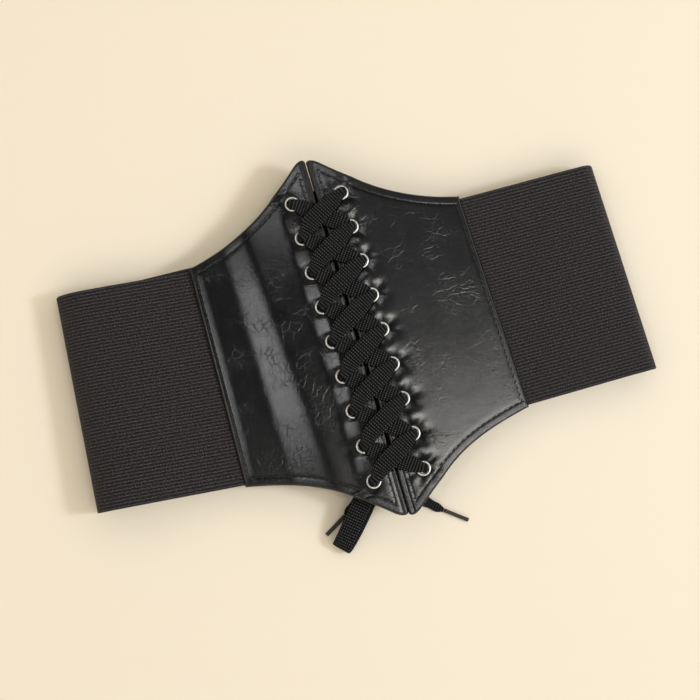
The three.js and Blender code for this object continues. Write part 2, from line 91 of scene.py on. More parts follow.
# The routes of the loops, of the tails and of the way through the knot between
# them, from the middle of the belt.
LOOP_ROUTE = {
    "left": [
        (-5.8, -74.3, 12.1),
        (-9.4, -76.4, 12.8),
        (-13, -78.6, 13.1),
        (-18, -83.4, 13),
        (-23.4, -89, 12.2),
        (-28.8, -95.2, 11),
        (-34.4, -101.8, 9.4),
        (-38.4, -106.4, 7.4),
        (-39.8, -108.2, 4.9),
        (-37.8, -107.4, 2.3),
        (-34, -104.2, 1.3),
        (-28.8, -98.8, 3),
        (-23.4, -92.6, 5.4),
        (-18, -86.2, 7.4),
        (-12.6, -80, 8.5),
        (-9, -76.7, 8.7),
        (-6, -74.5, 8.6),
    ],
    "right": [
        (4, -70, 12.1),
        (10, -70.1, 12.8),
        (17, -70.2, 12.2),
        (24, -70.3, 10.8),
        (30, -70.4, 9),
        (34.2, -70.5, 7.2),
        (35.6, -70.5, 4.8),
        (34.6, -70.5, 2.4),
        (31.4, -70.4, 1.2),
        (26, -70.3, 1.8),
        (19, -70.2, 4.6),
        (11, -70.1, 7.6),
        (4.3, -70, 8.6),
    ],
}
THROUGH_KNOT = {
    "left": [(-3.8, -72.4, 8.4), (-2.2, -70.8, 7.4), (-2.4, -70.9, 6.1)],
    "right": [(1.6, -70.3, 8.4), (-0.1, -71.3, 8.2), (0.0, -73.0, 7.8)],
}
TAIL_ROUTE = {
    "left": [
        (-3.4, -71.6, 5.2),
        (-7.4, -75.6, 4.2),
        (-12.4, -79.8, 2.4),
        (-17, -82.8, 1.4),
        (-22, -85.6, 1.2),
        (-27, -88.6, 1.2),
        (-30.2, -90.6, 1.2),
        (-32.6, -92, 1.2),
    ],
    "right": [
        (0.1, -74.6, 7.1),
        (1.2, -79, 6.1),
        (3.4, -84, 4.5),
        (6.2, -89.6, 3.2),
        (10, -95, 2.1),
        (14.2, -99.4, 1.4),
        (17.4, -102.4, 1.2),
        (20.2, -104.6, 1.2),
    ],
}

# The hard tip's outline: shares of its length and of its radius.
AGLET_OUTLINE = [
    (0, 0.75),
    (0.03, 0.97),
    (0.08, 1.0),
    (0.12, 0.93),
    (0.5, 0.95),
    (0.88, 0.93),
    (0.93, 1.0),
    (0.98, 0.97),
    (1, 0.8),
]


def srgb(hex_value):
    """A colour written as sRGB hex, as the linear value that a shader takes."""
    parts = [int(hex_value[i : i + 2], 16) / 255 for i in (0, 2, 4)]
    linear = [c / 12.92 if c <= 0.04045 else ((c + 0.055) / 1.055) ** 2.4 for c in parts]
    return (*linear, 1.0)


def set_inputs(tree, node, **links):
    """Fill a node's inputs with values or sockets. A node stands for its first output.

    Each goes by the input's name, with a number after two underscores where
    several inputs share a name.
    """
    for key, value in links.items():
        name, _, place = key.partition("__")
        name = name.replace("_", " ")
        same = [s for s in node.inputs if s.name == name and s.enabled]
        socket = same[int(place or 0)]
        if isinstance(value, bpy.types.Node):
            value = next(s for s in value.outputs if s.enabled)
        if isinstance(value, bpy.types.NodeSocket):
            tree.links.new(value, socket)
        else:
            socket.default_value = value


def add_node(tree, kind, settings=(), **links):
    """One node in a tree, with its settings, its values and its links."""
    node = tree.nodes.new(kind)
    for key, value in dict(settings).items():
        setattr(node, key, value)
    set_inputs(tree, node, **links)
    return node


def new_material(name):
    """A material with a Principled surface, ready for its pattern."""
    material = bpy.data.materials.new(name)
    material.use_nodes = True
    tree = material.node_tree
    return material, tree, tree.nodes["Principled BSDF"]


def braid_material():
    """Black polyester braid: shiny yarns plaited over and under. The pale bars across
    the ribs are painted highlights on the yarns' crowns; between them it is dead black."""
    material, tree, surface = new_material("polyester_braid")
    place = add_node(tree, "ShaderNodeUVMap", {"uv_map": "run"})
    parts = add_node(tree, "ShaderNodeSeparateXYZ", Vector=place)
    across = add_node(
        tree, "ShaderNodeMath", {"operation": "MULTIPLY"},
        Value=parts.outputs["Y"], Value__1=LACE_RIBS * math.pi,
    )
    rib = add_node(tree, "ShaderNodeMath", {"operation": "SINE"}, Value=across)
    rib = add_node(tree, "ShaderNodeMath", {"operation": "ABSOLUTE"}, Value=rib)
    turns = add_node(
        tree, "ShaderNodeMath", {"operation": "MULTIPLY_ADD"},
        Value=parts.outputs["X"], Value__1=2 * math.pi / (LACE_BAR_PITCH * MM), Value__2=rib,
    )
    bar = add_node(tree, "ShaderNodeMath", {"operation": "SINE"}, Value=turns)
    bar = add_node(
        tree, "ShaderNodeMapRange", {"interpolation_type": "SMOOTHSTEP"},
        Value=bar, From_Min=-0.2, From_Max=0.9,
    )
    plait = add_node(
        tree, "ShaderNodeMath", {"operation": "MULTIPLY"}, Value=bar, Value__1=rib
    )
    # One yarn's glint is 1.4 mm long and a thirtieth of the lace's width.
    yarns = add_node(
        tree, "ShaderNodeVectorMath", {"operation": "MULTIPLY"},
        Vector=place, Vector__1=(700.0, 30.0, 1.0),
    )
    yarn_glints = add_node(tree, "ShaderNodeTexNoise", Vector=yarns, Scale=1.0, Detail=2.0)
    weave_and_painted_light = add_node(
        tree, "ShaderNodeMath", {"operation": "MULTIPLY"}, Value=plait, Value__1=yarn_glints
    )
    tone = add_node(tree, "ShaderNodeMapRange", Value=weave_and_painted_light, From_Min=0.22, From_Max=0.62)
    # The colour's pale end is a painted highlight on the yarns' crowns; the braid itself is near
    # black.
    colour = add_node(
        tree, "ShaderNodeMix", {"data_type": "RGBA"},
        Factor=tone, A=srgb("040404"), B=srgb("56575a"),
    )
    bump = add_node(tree, "ShaderNodeBump", Strength=0.8, Distance=0.3 * MM, Height=plait)
    shine = add_node(tree, "ShaderNodeMapRange", Value=tone, To_Min=0.9, To_Max=0.4)
    set_inputs(
        tree, surface, Base_Color=colour, Normal=bump, Roughness=shine, Specular_IOR_Level=0.2
    )
    return material


def tip_material():
    """Hardened lace tip: the braid's end, soaked in acetate and rolled hard, so
    it is slightly glossy with the braid still showing faintly through."""
    material, tree, surface = new_material("hardened_lace_tip")
    place = add_node(tree, "ShaderNodeTexCoord").outputs["Object"]
    grain = add_node(
        tree, "ShaderNodeTexNoise", Vector=place, Scale=1 / (AGLET_GRAIN * MM), Detail=3.0
    )
    colour = add_node(
        tree, "ShaderNodeMix", {"data_type": "RGBA"},
        Factor=grain, A=srgb("0d0a08"), B=srgb("2c241c"),
    )
    bump = add_node(tree, "ShaderNodeBump", Strength=0.5, Distance=0.2 * MM, Height=grain)
    set_inputs(tree, surface, Base_Color=colour, Normal=bump, Roughness=0.4)
    return material


def belt_middle():
    """The point between the two panels, at the middle of the left one's height."""
    left_low, left_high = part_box("left_panel")
    right_low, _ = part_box("right_panel")
    x = (left_high.x + right_low.x) / 2 / MM
    y = (left_low.y + left_high.y) / 2 / MM
    return np.array([x, y, 0.0])


def unit(vectors):
    """Vectors brought to a length of 1."""
    return vectors / np.maximum(np.linalg.norm(vectors, axis=-1, keepdims=True), 1e-9)


def smooth_line(points, step):
    """A smooth line through given rows of numbers, with even steps.

    The first three columns are the place and set the step. Any more are
    carried along with it.
    """
    rows = np.array(points, float)
    reach = np.linalg.norm(np.diff(rows[:, :3], axis=0), axis=1)
    knots = np.concatenate([[0], np.cumsum(np.maximum(reach, 1e-4) ** 0.5)])
    slopes = np.gradient(rows, knots, axis=0)
    fine = np.linspace(0, knots[-1], 40 * len(rows))
    i = np.clip(np.searchsorted(knots, fine, side="right") - 1, 0, len(rows) - 2)
    width = (knots[i + 1] - knots[i])[:, None]
    t = ((fine - knots[i])[:, None]) / width
    dense = (
        (1 + 2 * t) * (1 - t) ** 2 * rows[i]
        + t * (1 - t) ** 2 * width * slopes[i]
        + t * t * (3 - 2 * t) * rows[i + 1]
        + t * t * (t - 1) * width * slopes[i + 1]
    )
    lengths = np.linalg.norm(np.diff(dense[:, :3], axis=0), axis=1)
    along = np.concatenate([[0], np.cumsum(lengths)])
    count = max(int(round(along[-1] / step)), 4)
    even = np.linspace(0, along[-1], count + 1)
    columns = [np.interp(even, along, dense[:, c]) for c in range(rows.shape[1])]
    return np.stack(columns, axis=1), even


def mesh_piece(name, points, faces, material, uv=None):
    """A piece of the belt from points in millimetres, with smooth faces."""
    mesh = bpy.data.meshes.new(name)
    mesh.from_pydata((np.asarray(points, float) * MM).tolist(), [], faces)
    mesh.polygons.foreach_set("use_smooth", [True] * len(mesh.polygons))
    mesh.materials.append(material)
    if uv is not None:
        layer = mesh.uv_layers.new(name="run")
        corners = np.zeros(len(mesh.loops), int)
        mesh.loops.foreach_get("vertex_index", corners)
        layer.data.foreach_set("uv", np.asarray(uv, float)[corners].ravel())
    mesh.validate()
    piece = bpy.data.objects.new(name, mesh)
    bpy.context.scene.collection.objects.link(piece)
    return piece


def tube_faces(rows, sides):
    """Faces between closed rings, and a cap on the first and the last."""
    i, j = np.meshgrid(np.arange(rows - 1), np.arange(sides), indexing="ij")
    a = i * sides + j
    b = i * sides + (j + 1) % sides
    quads = np.stack([a, b, b + sides, a + sides], axis=-1).reshape(-1, 4).tolist()
    first = list(range(sides))[::-1]
    last = [(rows - 1) * sides + k for k in range(sides)]
    return quads + [first, last]


def braid_section():
    """Half a turn of the flat braid's outline, as shares of its half width and
    half thickness, and how far each point stands on a rib."""
    count = LACE_RIBS * 4
    v = np.linspace(1, -1, count + 1)
    across = np.sign(v) * (1 - (1 - np.abs(v)) ** 1.15)
    height = np.maximum(1 - np.abs(across) ** 5, 0) ** 0.5
    rib = np.abs(np.sin(np.linspace(0, LACE_RIBS * math.pi, count + 1)))
    return across, height, rib


def braid(name, line, across, widths, thicknesses, along):
    """A flat braid along a line: ribs on both faces, and a UV that runs in
    metres along it and in shares of its width across."""
    tangent = unit(np.gradient(line, axis=0))
    across = unit(across - (across * tangent).sum(1, keepdims=True) * tangent)
    up = np.cross(tangent, across)
    share, height, rib = braid_section()
    ring_share = np.concatenate([share, share[::-1][1:-1]])
    ring_height = np.concatenate([height, -height[::-1][1:-1]])
    ring_rib = np.concatenate([rib, rib[::-1][1:-1]])
    full = widths / LOOSE_LACE_WIDTH
    side = np.outer(widths / 2, ring_share)
    rise = np.outer(thicknesses / 2, ring_height)
    rise += np.outer(full, np.sign(ring_height) * (ring_rib - 0.5)) * LACE_RIB_HEIGHT
    points = line[:, None] + side[..., None] * across[:, None] + rise[..., None] * up[:, None]
    sides = len(ring_share)
    u = np.repeat(along[:, None], sides, axis=1)
    v = np.repeat(((ring_share + 1) / 2)[None], len(line), axis=0)
    uv = np.stack([u * MM, v], axis=-1).reshape(-1, 2)
    return mesh_piece(name, points.reshape(-1, 3), tube_faces(len(line), sides), lace_braid, uv)


def loose_end(side):
    """One free end of the lace: round its loop, through the knot and out."""
    loop = np.array(LOOP_ROUTE[side], float)
    through = np.array(THROUGH_KNOT[side], float)
    tail = np.array(TAIL_ROUTE[side], float)
    run = unit((loop[len(loop) // 2] - loop[0]) * [1, 1, 0])
    loop_across = np.tile([-run[1], run[0], 0.0], (len(loop), 1))
    way = np.gradient(tail, axis=0)
    tail_across = unit(np.stack([-way[:, 1], way[:, 0], 0 * way[:, 2]], axis=1))
    share = np.linspace(0, 1, len(through) + 2)[1:-1, None]
    through_across = unit(loop_across[-1] * (1 - share) + tail_across[0] * share)
    widths = np.full(len(loop) + len(through) + len(tail), LOOSE_LACE_WIDTH)
    widths[[1, len(loop) - 2, -len(tail) + 1]] = LOOP_NECK_WIDTH
    widths[0] = KNOT_WIDTH
    widths[len(loop) - 1 : -len(tail) + 1] = KNOT_WIDTH
    widths[-4] = TAIL_NECK_WIDTH
    widths[-3:-1] = TAIL_END_WIDTH
    widths[-1] = 2 * AGLET_RADIUS
    places = np.concatenate([loop, through, tail]) + MIDDLE
    ways = np.concatenate([loop_across, through_across, tail_across])
    line, along = smooth_line(np.concatenate([places, ways, widths[:, None]], axis=1), LACE_STEP)
    thicknesses = np.full(len(line), LACE_THICKNESS)
    piece = braid(
        f"{side}_lace_end", line[:, :3], line[:, 3:6], line[:, 6], thicknesses, along
    )
    return piece, line[:, :3], along[-1]


def aglet(side):
    """The hard tip: a thin rod with a rolled lip at each end."""
    before, end = np.array(TAIL_ROUTE[side][-2:], float) + MIDDLE
    along = unit((end - before) * [1, 1, 0])
    across = np.array([-along[1], along[0], 0])
    up = np.array([0, 0, 1.0])
    angles = np.linspace(0, 2 * math.pi, 24, endpoint=False)
    ring = np.outer(np.cos(angles), across) + np.outer(np.sin(angles), up)
    points = []
    for share, radius in AGLET_OUTLINE:
        middle = end + along * (AGLET_GAP + share * AGLET_LENGTH)
        points.append(middle + ring * radius * AGLET_RADIUS)
    faces = tube_faces(len(AGLET_OUTLINE), len(angles))
    return mesh_piece(f"{side}_lace_tip", np.concatenate(points), faces, lace_tip)


def bow_knot():
    """The knot: one turn of the braid wrapped round the gathered ends."""
    low, high = (np.array(corner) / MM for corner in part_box("bow_knot"))
    middle = (low + high) / 2
    size = (high - low) / 2
    rows = 41
    sides = 56
    points = []
    for i in range(rows):
        angle = math.pi * i / (rows - 1)
        for j in range(sides):
            turn = 2 * math.pi * j / sides
            ray = np.array(
                [math.sin(angle) * math.cos(turn), math.cos(angle), math.sin(angle) * math.sin(turn)]
            )
            lean = ray[0] + KNOT_SLANT * ray[1]
            from_groove = abs(lean) - KNOT_GROOVE["from_middle"]
            wrap = 1 - KNOT_GROOVE["depth"] * math.exp(-(from_groove**2) / 0.006)
            rib = 1 + KNOT_RIB["height"] * math.cos(lean * KNOT_RIB["turns"])
            points.append(middle + ray * size * wrap * rib)
    uv = [
        (size[2] * math.pi * j / sides * 2 * MM, i / (rows - 1))
        for i in range(rows)
        for j in range(sides)
    ]
    return mesh_piece("knot", points, tube_faces(rows, sides), lace_braid, uv)


MIDDLE = belt_middle()
lace_braid = braid_material()
lace_tip = tip_material()
for side in ("left", "right"):
    end, end_line, end_length = loose_end(side)
    tip = aglet(side)
    for piece in (end, tip):
        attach(piece, "root")
    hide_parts(f"{side}_loop", f"{side}_tail")
    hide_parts(f"{side}_aglet")

knot = bow_knot()
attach(knot, "root")
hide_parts("bow_knot")

# The elastic.
# One wide strip of woven ribbed elastic: rubber threads in a charcoal
# polyester weave, sewn under the panels and running round the back.

PANEL_WALL = 2.0
PANEL_HALF_WIDTH = 77.5
FRONT_HEIGHT = 22.0
FRONT_CROWN = 3.5
CLEARANCE = 0.3
ELASTIC_WALL = 1.6
ELASTIC_HALF_HEIGHT = 60.0
ELASTIC_FOLD_HALF_HEIGHT = 59.6
WING_LENGTH = 78.0
OUTER = PANEL_HALF_WIDTH + WING_LENGTH
SEAM_OVERLAP = 12.0
SEAM_SLANT_DEG = 1.45
FOLD_DEPTH = {"left": 15.0, "right": 8.0}
ELASTIC_RIBS = 66
ELASTIC_RIB_HEIGHT = 0.28
ELASTIC_RIB_STEPS = 4
ELASTIC_PICK_PITCH = 0.8

# Each fold's thickness at the edge nearest the head and at the lower edge.
FOLD_THICKNESS = {"left": (19.0, 24.0), "right": (18.0, 18.0)}

# The thin edge that the weave ends in: its share of the strip's width, and its
# share of the wall.
ELASTIC_EDGE_SHARE = 0.006
ELASTIC_EDGE_WALL = 0.45

# How the panels swell: across is a share of the half width, lift of the crown.
SWELL = {
    "left": [(0, 0.9), (0.08, 1), (0.26, 1), (0.38, 0.7), (0.52, 0.62), (0.74, 0.06), (1, 0)],
    "right": [(0, 0.9), (0.08, 1), (0.26, 1), (0.6, 0.85), (1, 0)],
}

# How the elastic lies skewed: drift towards the head as a share of its half
# height, and its slant in degrees, at each fold and seam.
LIE = {
    "left_fold": (0.104, 4.4),
    "left_seam": (-0.018, SEAM_SLANT_DEG),
    "right_seam": (-0.043, -SEAM_SLANT_DEG),
    "right_fold": (-0.06, -0.4),
}


def smooth(low, high, value):
    """0 below low, 1 above high, and an even curve between them."""
    t = np.clip((np.asarray(value, float) - low) / (high - low), 0, 1)
    return t * t * (3 - 2 * t)


def elastic_material():
    """Woven ribbed elastic: matt charcoal cords side by side over rubber, with
    pale speckles where the fine weft yarns cross them. The grooves between the cords
    are painted dark as shade, and the cords' crowns lighter as a painted highlight."""
    material, tree, surface = new_material("ribbed_woven_elastic")
    place = add_node(tree, "ShaderNodeUVMap", {"uv_map": "run"})
    parts = add_node(tree, "ShaderNodeSeparateXYZ", Vector=place)
    rib_turns = add_node(
        tree, "ShaderNodeMath", {"operation": "MULTIPLY"},
        Value=parts.outputs["Y"], Value__1=ELASTIC_RIBS * 2 * math.pi,
    )
    # Across the cords: painted shade in the grooves and a painted highlight on the crowns.
    rib_shade_wave = add_node(tree, "ShaderNodeMath", {"operation": "COSINE"}, Value=rib_turns)
    pick_turns = add_node(
        tree, "ShaderNodeMath", {"operation": "MULTIPLY_ADD"},
        Value=parts.outputs["X"], Value__1=2 * math.pi / (ELASTIC_PICK_PITCH * MM), Value__2=rib_shade_wave,
    )
    pick_wave = add_node(tree, "ShaderNodeMath", {"operation": "SINE"}, Value=pick_turns)
    # A speckle is 0.8 mm long and 0.5 mm wide, larger than the real yarns so
    # that it shows.
    stretched = add_node(
        tree, "ShaderNodeVectorMath", {"operation": "MULTIPLY"},
        Vector=place, Vector__1=(1300.0, 240.0, 1.0),
    )
    speckle = add_node(tree, "ShaderNodeTexNoise", Vector=stretched, Scale=1.0, Detail=2.0)
    bright_yarn = add_node(
        tree, "ShaderNodeMapRange",
        Value=speckle, From_Min=0.42, From_Max=0.72, To_Min=-0.25, To_Max=2.0,
    )
    crossing = add_node(
        tree, "ShaderNodeMath", {"operation": "MULTIPLY_ADD"},
        Value=pick_wave, Value__1=0.15, Value__2=bright_yarn,
    )
    # The colour's pattern: painted shade in the grooves and painted highlight on the crowns, with the
    # picks and weft speckles.
    weave_and_painted_light = add_node(
        tree, "ShaderNodeMath", {"operation": "MULTIPLY_ADD"},
        Value=rib_shade_wave, Value__1=-0.7, Value__2=crossing,
    )
    tone = add_node(tree, "ShaderNodeMapRange", Value=weave_and_painted_light, From_Min=0.0, From_Max=2.1)
    colour = add_node(
        tree, "ShaderNodeMix", {"data_type": "RGBA"},
        Factor=tone, A=srgb("050405"), B=srgb("554e51"),
    )
    bump = add_node(tree, "ShaderNodeBump", Strength=0.7, Distance=0.3 * MM, Height=weave_and_painted_light)
    set_inputs(
        tree, surface, Base_Color=colour, Normal=bump,
        Roughness=0.8, Specular_IOR_Level=0.25, Sheen_Weight=0.06,
    )
    return material


def swell_height(x):
    """The height of the panels' outer face over the surface, x from the middle."""
    x = np.asarray(x, float)
    heights = np.zeros_like(x)
    for side, sign in (("left", -1), ("right", 1)):
        rows = SWELL[side]
        across = np.clip(sign * x / PANEL_HALF_WIDTH, 0, 1)
        lift = np.full_like(x, float(rows[0][1]))
        for (a, low), (b, high) in zip(rows, rows[1:]):
            lift = np.where(across >= a, low + (high - low) * smooth(a, b, across), lift)
        chosen = x < 0 if sign < 0 else x >= 0
        heights = np.where(chosen, FRONT_HEIGHT - FRONT_CROWN * (1 - lift), heights)
    return heights


def elastic_line(share_down):
    """The strip's middle line seen from its edge, as rows of x, z and layer.

    share_down is 0 at the edge nearest the head and 1 at the lower edge.
    """
    half = ELASTIC_WALL / 2
    halves = []
    for side, sign in (("left", -1), ("right", 1)):
        top, bottom = FOLD_THICKNESS[side]
        front = top + (bottom - top) * share_down - half
        fold_start = OUTER - FOLD_DEPTH[side]
        inner = PANEL_HALF_WIDTH - SEAM_OVERLAP
        under = np.linspace(inner, PANEL_HALF_WIDTH, 6)
        under_z = swell_height(sign * under) - PANEL_WALL - CLEARANCE - half
        wing = np.linspace(PANEL_HALF_WIDTH, fold_start, 25)[1:]
        rising = smooth(PANEL_HALF_WIDTH, fold_start, wing)
        wing_z = under_z[-1] + (front - under_z[-1]) * rising
        angle = np.linspace(0, math.pi, 25)[1:-1]
        fold_x = fold_start + (FOLD_DEPTH[side] - half) * np.sin(angle)
        fold_z = (front + half) / 2 + (front - half) / 2 * np.cos(angle)
        x = np.concatenate([under, wing, fold_x, [fold_start]]) * sign
        z = np.concatenate([under_z, wing_z, fold_z, [half]])
        front_rows = len(under) + len(wing) + len(angle) // 2
        back = (np.arange(len(x)) >= front_rows).astype(float)
        halves.append(np.stack([x, z, back], axis=1))
    left, right = halves
    x = np.linspace(left[-1, 0], right[-1, 0], 62)[1:-1]
    middle = np.stack([x, np.full_like(x, half), np.ones_like(x)], axis=1)
    return np.concatenate([left, middle, right[::-1]])


def elastic_lie(x, back):
    """The drift and slant of the line across the elastic at x."""
    share_back = (x + OUTER) / (2 * OUTER)
    beyond = np.clip((np.abs(x) - PANEL_HALF_WIDTH) / WING_LENGTH, 0, 1)
    values = []
    for column in (0, 1):
        lf, ls, rs, rf = (
            LIE[key][column] for key in ("left_fold", "left_seam", "right_seam", "right_fold")
        )
        on_back = lf + (rf - lf) * share_back
        on_front = np.where(x < 0, ls + (lf - ls) * beyond, rs + (rf - rs) * beyond)
        values.append(np.where(back > 0.5, on_back, on_front))
    return values


def elastic_strip():
    """The strip as a closed ribbed shell."""
    half = ELASTIC_WALL / 2
    count = ELASTIC_RIBS * ELASTIC_RIB_STEPS
    down = np.linspace(0, 1, count + 1)
    rails = [elastic_line(share) for share in (0.0, 1.0)]
    rail_rows = len(rails[0])
    top, low = (rail[:, :2] for rail in rails)
    back = rails[0][:, 2]
    x0 = rails[0][:, 0]
    drift, turn = elastic_lie(x0, back)
    turn = np.radians(turn)
    beyond = np.clip((np.abs(x0) - PANEL_HALF_WIDTH) / WING_LENGTH, 0, 1)
    beyond = np.where(back > 0.5, 1.0, beyond)
    height = ELASTIC_HALF_HEIGHT + (ELASTIC_FOLD_HALF_HEIGHT - ELASTIC_HALF_HEIGHT) * beyond
    profile = top[:, None] + (low - top)[:, None] * down[None, :, None]
    tangent = unit(np.gradient(profile, axis=0))
    normal = np.stack([tangent[..., 1], -tangent[..., 0]], axis=-1)
    along = np.concatenate([[0], np.cumsum(np.linalg.norm(np.diff(top, axis=0), axis=1))])
    rib = np.abs(np.sin(down * ELASTIC_RIBS * math.pi)) - 0.6
    edge = smooth(0, ELASTIC_EDGE_SHARE, down) * smooth(0, ELASTIC_EDGE_SHARE, 1 - down)
    wall = half * (ELASTIC_EDGE_WALL + (1 - ELASTIC_EDGE_WALL) * edge)
    lift = wall + ELASTIC_RIB_HEIGHT * rib * edge
    layers = []
    for sign in (1, -1):
        flat = profile + normal * (sign * lift)[None, :, None]
        v = 1 - 2 * down
        x = flat[..., 0] + np.outer(height * np.sin(turn), v)
        y = np.outer(height * np.cos(turn), v) + (drift * ELASTIC_HALF_HEIGHT)[:, None]
        layers.append(np.stack([x, y, flat[..., 1]], axis=-1))
    outer, inner = layers
    ring = np.concatenate([outer, inner[:, ::-1]], axis=1) + MIDDLE
    ring[..., 2] -= min(outer[..., 2].min(), 0)
    sides = ring.shape[1]
    v = np.concatenate([down, down[::-1]])
    u = np.repeat(along[:, None], sides, axis=1) * MM
    uv = np.stack([u, np.repeat(v[None], rail_rows, axis=0)], axis=-1).reshape(-1, 2)
    faces = tube_faces(rail_rows, sides)[:-2]
    last = (rail_rows - 1) * sides
    for start, flip in ((0, False), (last, True)):
        for k in range(count):
            quad = [start + k, start + sides - 1 - k, start + sides - 2 - k, start + k + 1]
            faces.append(quad if flip else quad[::-1])
    return mesh_piece("elastic_strip", ring.reshape(-1, 3), faces, elastic_material(), uv)


elastic = elastic_strip()
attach(elastic, "root")
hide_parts("elastic_band")

# The front panels.
# Coated leather-cloth over a stiff core, cut to a high point, with turned
# edges topstitched all round and nine holes beside the centre.

POINT_HEIGHT = 101.0
SEAM_HEIGHT = 61.0
POINT_ROUND = 6.0
CENTRE_GAP = 1.0
RIGHT_DROP = 1.0
EYELETS = 9
EYELET_FROM_POINT = 22.6
EYELET_FROM_CENTRE = 13.8
EYELET_PITCH = 2 * (POINT_HEIGHT - EYELET_FROM_POINT) / (EYELETS - 1)
EYELET_HOLE = 3.3
HOLE_REACH = {"inwards": 0.45, "outwards": 0.55}
PANEL_STEP = 0.8
STITCH_INSET = {"edge": 4.5, "centre": 5.5, "seam": 2.9}
PUFF = 0.03
STITCH_GROOVE = {"depth": 0.05, "width": 0.7}
SEAM_DIP = {"left": 0.19, "right": 0.06}
SEAM_DIP_WIDTH = 4.5
EDGE_ROUND = 0.9
EDGE_ROUND_DROP = 0.8
EDGE_WALL = 0.9

# The turned edge at the centre: a bead, and the crease beside it.
CENTRE_BEAD_ZONE = 4.0
CENTRE_BEAD = {"from_centre": 1.7, "width": 0.55, "height": 0.28}
CENTRE_CREASE = {"from_centre": 3.2, "width": 0.6, "depth": 0.10}

# How far the lace pulls the panels' inner edges down, over what width, and
# between which heights the pull fades out towards the points.
CENTRE_PULL = {"depth": 0.4, "width": 5.0, "fades": (66, 76)}

# How far each panel's side seam has stretched out and dropped towards the foot.
SEAM_OUT = {"left": 1.4, "right": 0.3}
SEAM_DROP = {"left": 1.1, "right": 1.6}

# How far the right panel's two points lean in over the gap, between which
# heights the lean grows, and how far from the centre the panel leans with them.
FOOT_LEAN = {"most": 1.0, "grows": (55, 85)}
HEAD_LEAN = {"most": 0.55, "grows": (55, 90)}
LEAN_REACH = 25.0

# Where each panel's face slopes away from the centre: where the slope starts
# and ends, its angle in degrees and the softness of its bends. Its two ends
# lean with the height, so the left panel's slope widens towards its lower point.
SLOPES = {
    "left": {"from": 38.7, "to": 55.2, "angle": 8.3, "soft": 1.5, "lean": 0.075, "end_lean": 0.028},
    "right": {"from": 19.0, "to": 78.0, "angle": 3.0, "soft": 2.5, "lean": 0.0, "end_lean": 0.0},
}

# How the lace's pull gathers the leather: a dimple under each eyelet with rays
# round it, a stepped slope on the left and a wave on the right.
RAYS = 7
DIMPLE_WIDTH = 4.6
DIMPLE_DEPTH = {"left": 0.22, "right": 0.45}
RAY_DISTANCE = 7.5
RAY_WIDTH = 3.2
RAY_HEIGHT = {"left": 0.02, "right": 0.07}
EYELET_SLOPE = {"from": 12.0, "to": 20.8, "angle": 8.2, "soft": 0.8, "end_soft": 0.9}
EYELET_SLOPE_FADES = (14, 20)
EYELET_STEP = 0.045
EYELET_STEP_FADES = (23, 29)
EYELET_WAVE = {"height": 0.30, "width": 6.5}

# The leather's grain in millimetres. The pores are drawn larger than the real
# ones so that they show.
PORE = 0.667
CREASE = 1.923
SWELLING = 16.67
HAIRLINE = 5.882
HAIRLINE_WANDER = 12.0


def leather_material():
    """Coated leather-cloth: a knitted base under a black polyurethane skin, rolled
    to a soft gloss. It shows long blurred reflections, fine creases and pores."""
    material, tree, surface = new_material("coated_leather_cloth")
    place = add_node(tree, "ShaderNodeTexCoord").outputs["Object"]
    grain = add_node(
        tree, "ShaderNodeTexVoronoi", {"feature": "DISTANCE_TO_EDGE"},
        Vector=place, Scale=1 / (PORE * MM),
    )
    creases = add_node(
        tree, "ShaderNodeTexNoise", {"noise_type": "RIDGED_MULTIFRACTAL"},
        Vector=place, Scale=1 / (CREASE * MM), Detail=2.0,
    )
    swells = add_node(
        tree, "ShaderNodeTexNoise", Vector=place, Scale=1 / (SWELLING * MM), Detail=2.0
    )
    wander = add_node(
        tree, "ShaderNodeVectorMath", {"operation": "MULTIPLY_ADD"},
        Vector=swells.outputs["Color"], Vector__1=[HAIRLINE_WANDER * MM] * 3, Vector__2=place,
    )
    hairlines = add_node(
        tree, "ShaderNodeTexVoronoi", {"feature": "DISTANCE_TO_EDGE"},
        Vector=wander, Scale=1 / (HAIRLINE * MM),
    )
    hairline = add_node(
        tree, "ShaderNodeMapRange", {"interpolation_type": "SMOOTHSTEP"},
        Value=hairlines, From_Max=0.07,
    )
    stitch_gap = add_node(
        tree, "ShaderNodeAttribute", {"attribute_name": "stitch_gap"}
    ).outputs["Fac"]
    inside = add_node(
        tree, "ShaderNodeMapRange", {"interpolation_type": "SMOOTHSTEP"},
        Value=stitch_gap, From_Min=1.5, From_Max=6.0, To_Min=0.08, To_Max=0.55,
    )
    worn = add_node(
        tree, "ShaderNodeMapRange", {"interpolation_type": "SMOOTHSTEP"},
        Value=swells, From_Min=0.46, From_Max=0.62, To_Min=0.08, To_Max=inside,
    )
    groove = add_node(
        tree, "ShaderNodeMapRange", {"interpolation_type": "SMOOTHSTEP"},
        Value=stitch_gap, From_Min=0.0, From_Max=0.9,
    )
    relief = add_node(tree, "ShaderNodeBump", Strength=0.25, Distance=0.10 * MM, Height=grain)
    for height, strength, depth in (
        (creases, worn, 0.09),
        (swells, 0.05, 1.2),
        (hairline, worn, 0.05),
        (groove, 0.1, 0.3),
    ):
        relief = add_node(
            tree, "ShaderNodeBump",
            Strength=strength, Distance=depth * MM, Height=height, Normal=relief,
        )
    gloss = add_node(
        tree, "ShaderNodeMapRange",
        Value=swells, From_Min=0.3, From_Max=0.7, To_Min=0.15, To_Max=0.19,
    )
    set_inputs(
        tree, surface, Base_Color=srgb("0e0e0f"), Normal=relief,
        Roughness=gloss, Specular_IOR_Level=0.5,
    )
    return material


def bell(offset, width):
    """1 at no offset, falling away evenly on both sides."""
    return np.exp(-((offset / width) ** 2))


def ramp(x, start, soft):
    """0 before the start and a steady rise after it, with a soft bend."""
    return np.logaddexp(0, (x - start) / soft) * soft


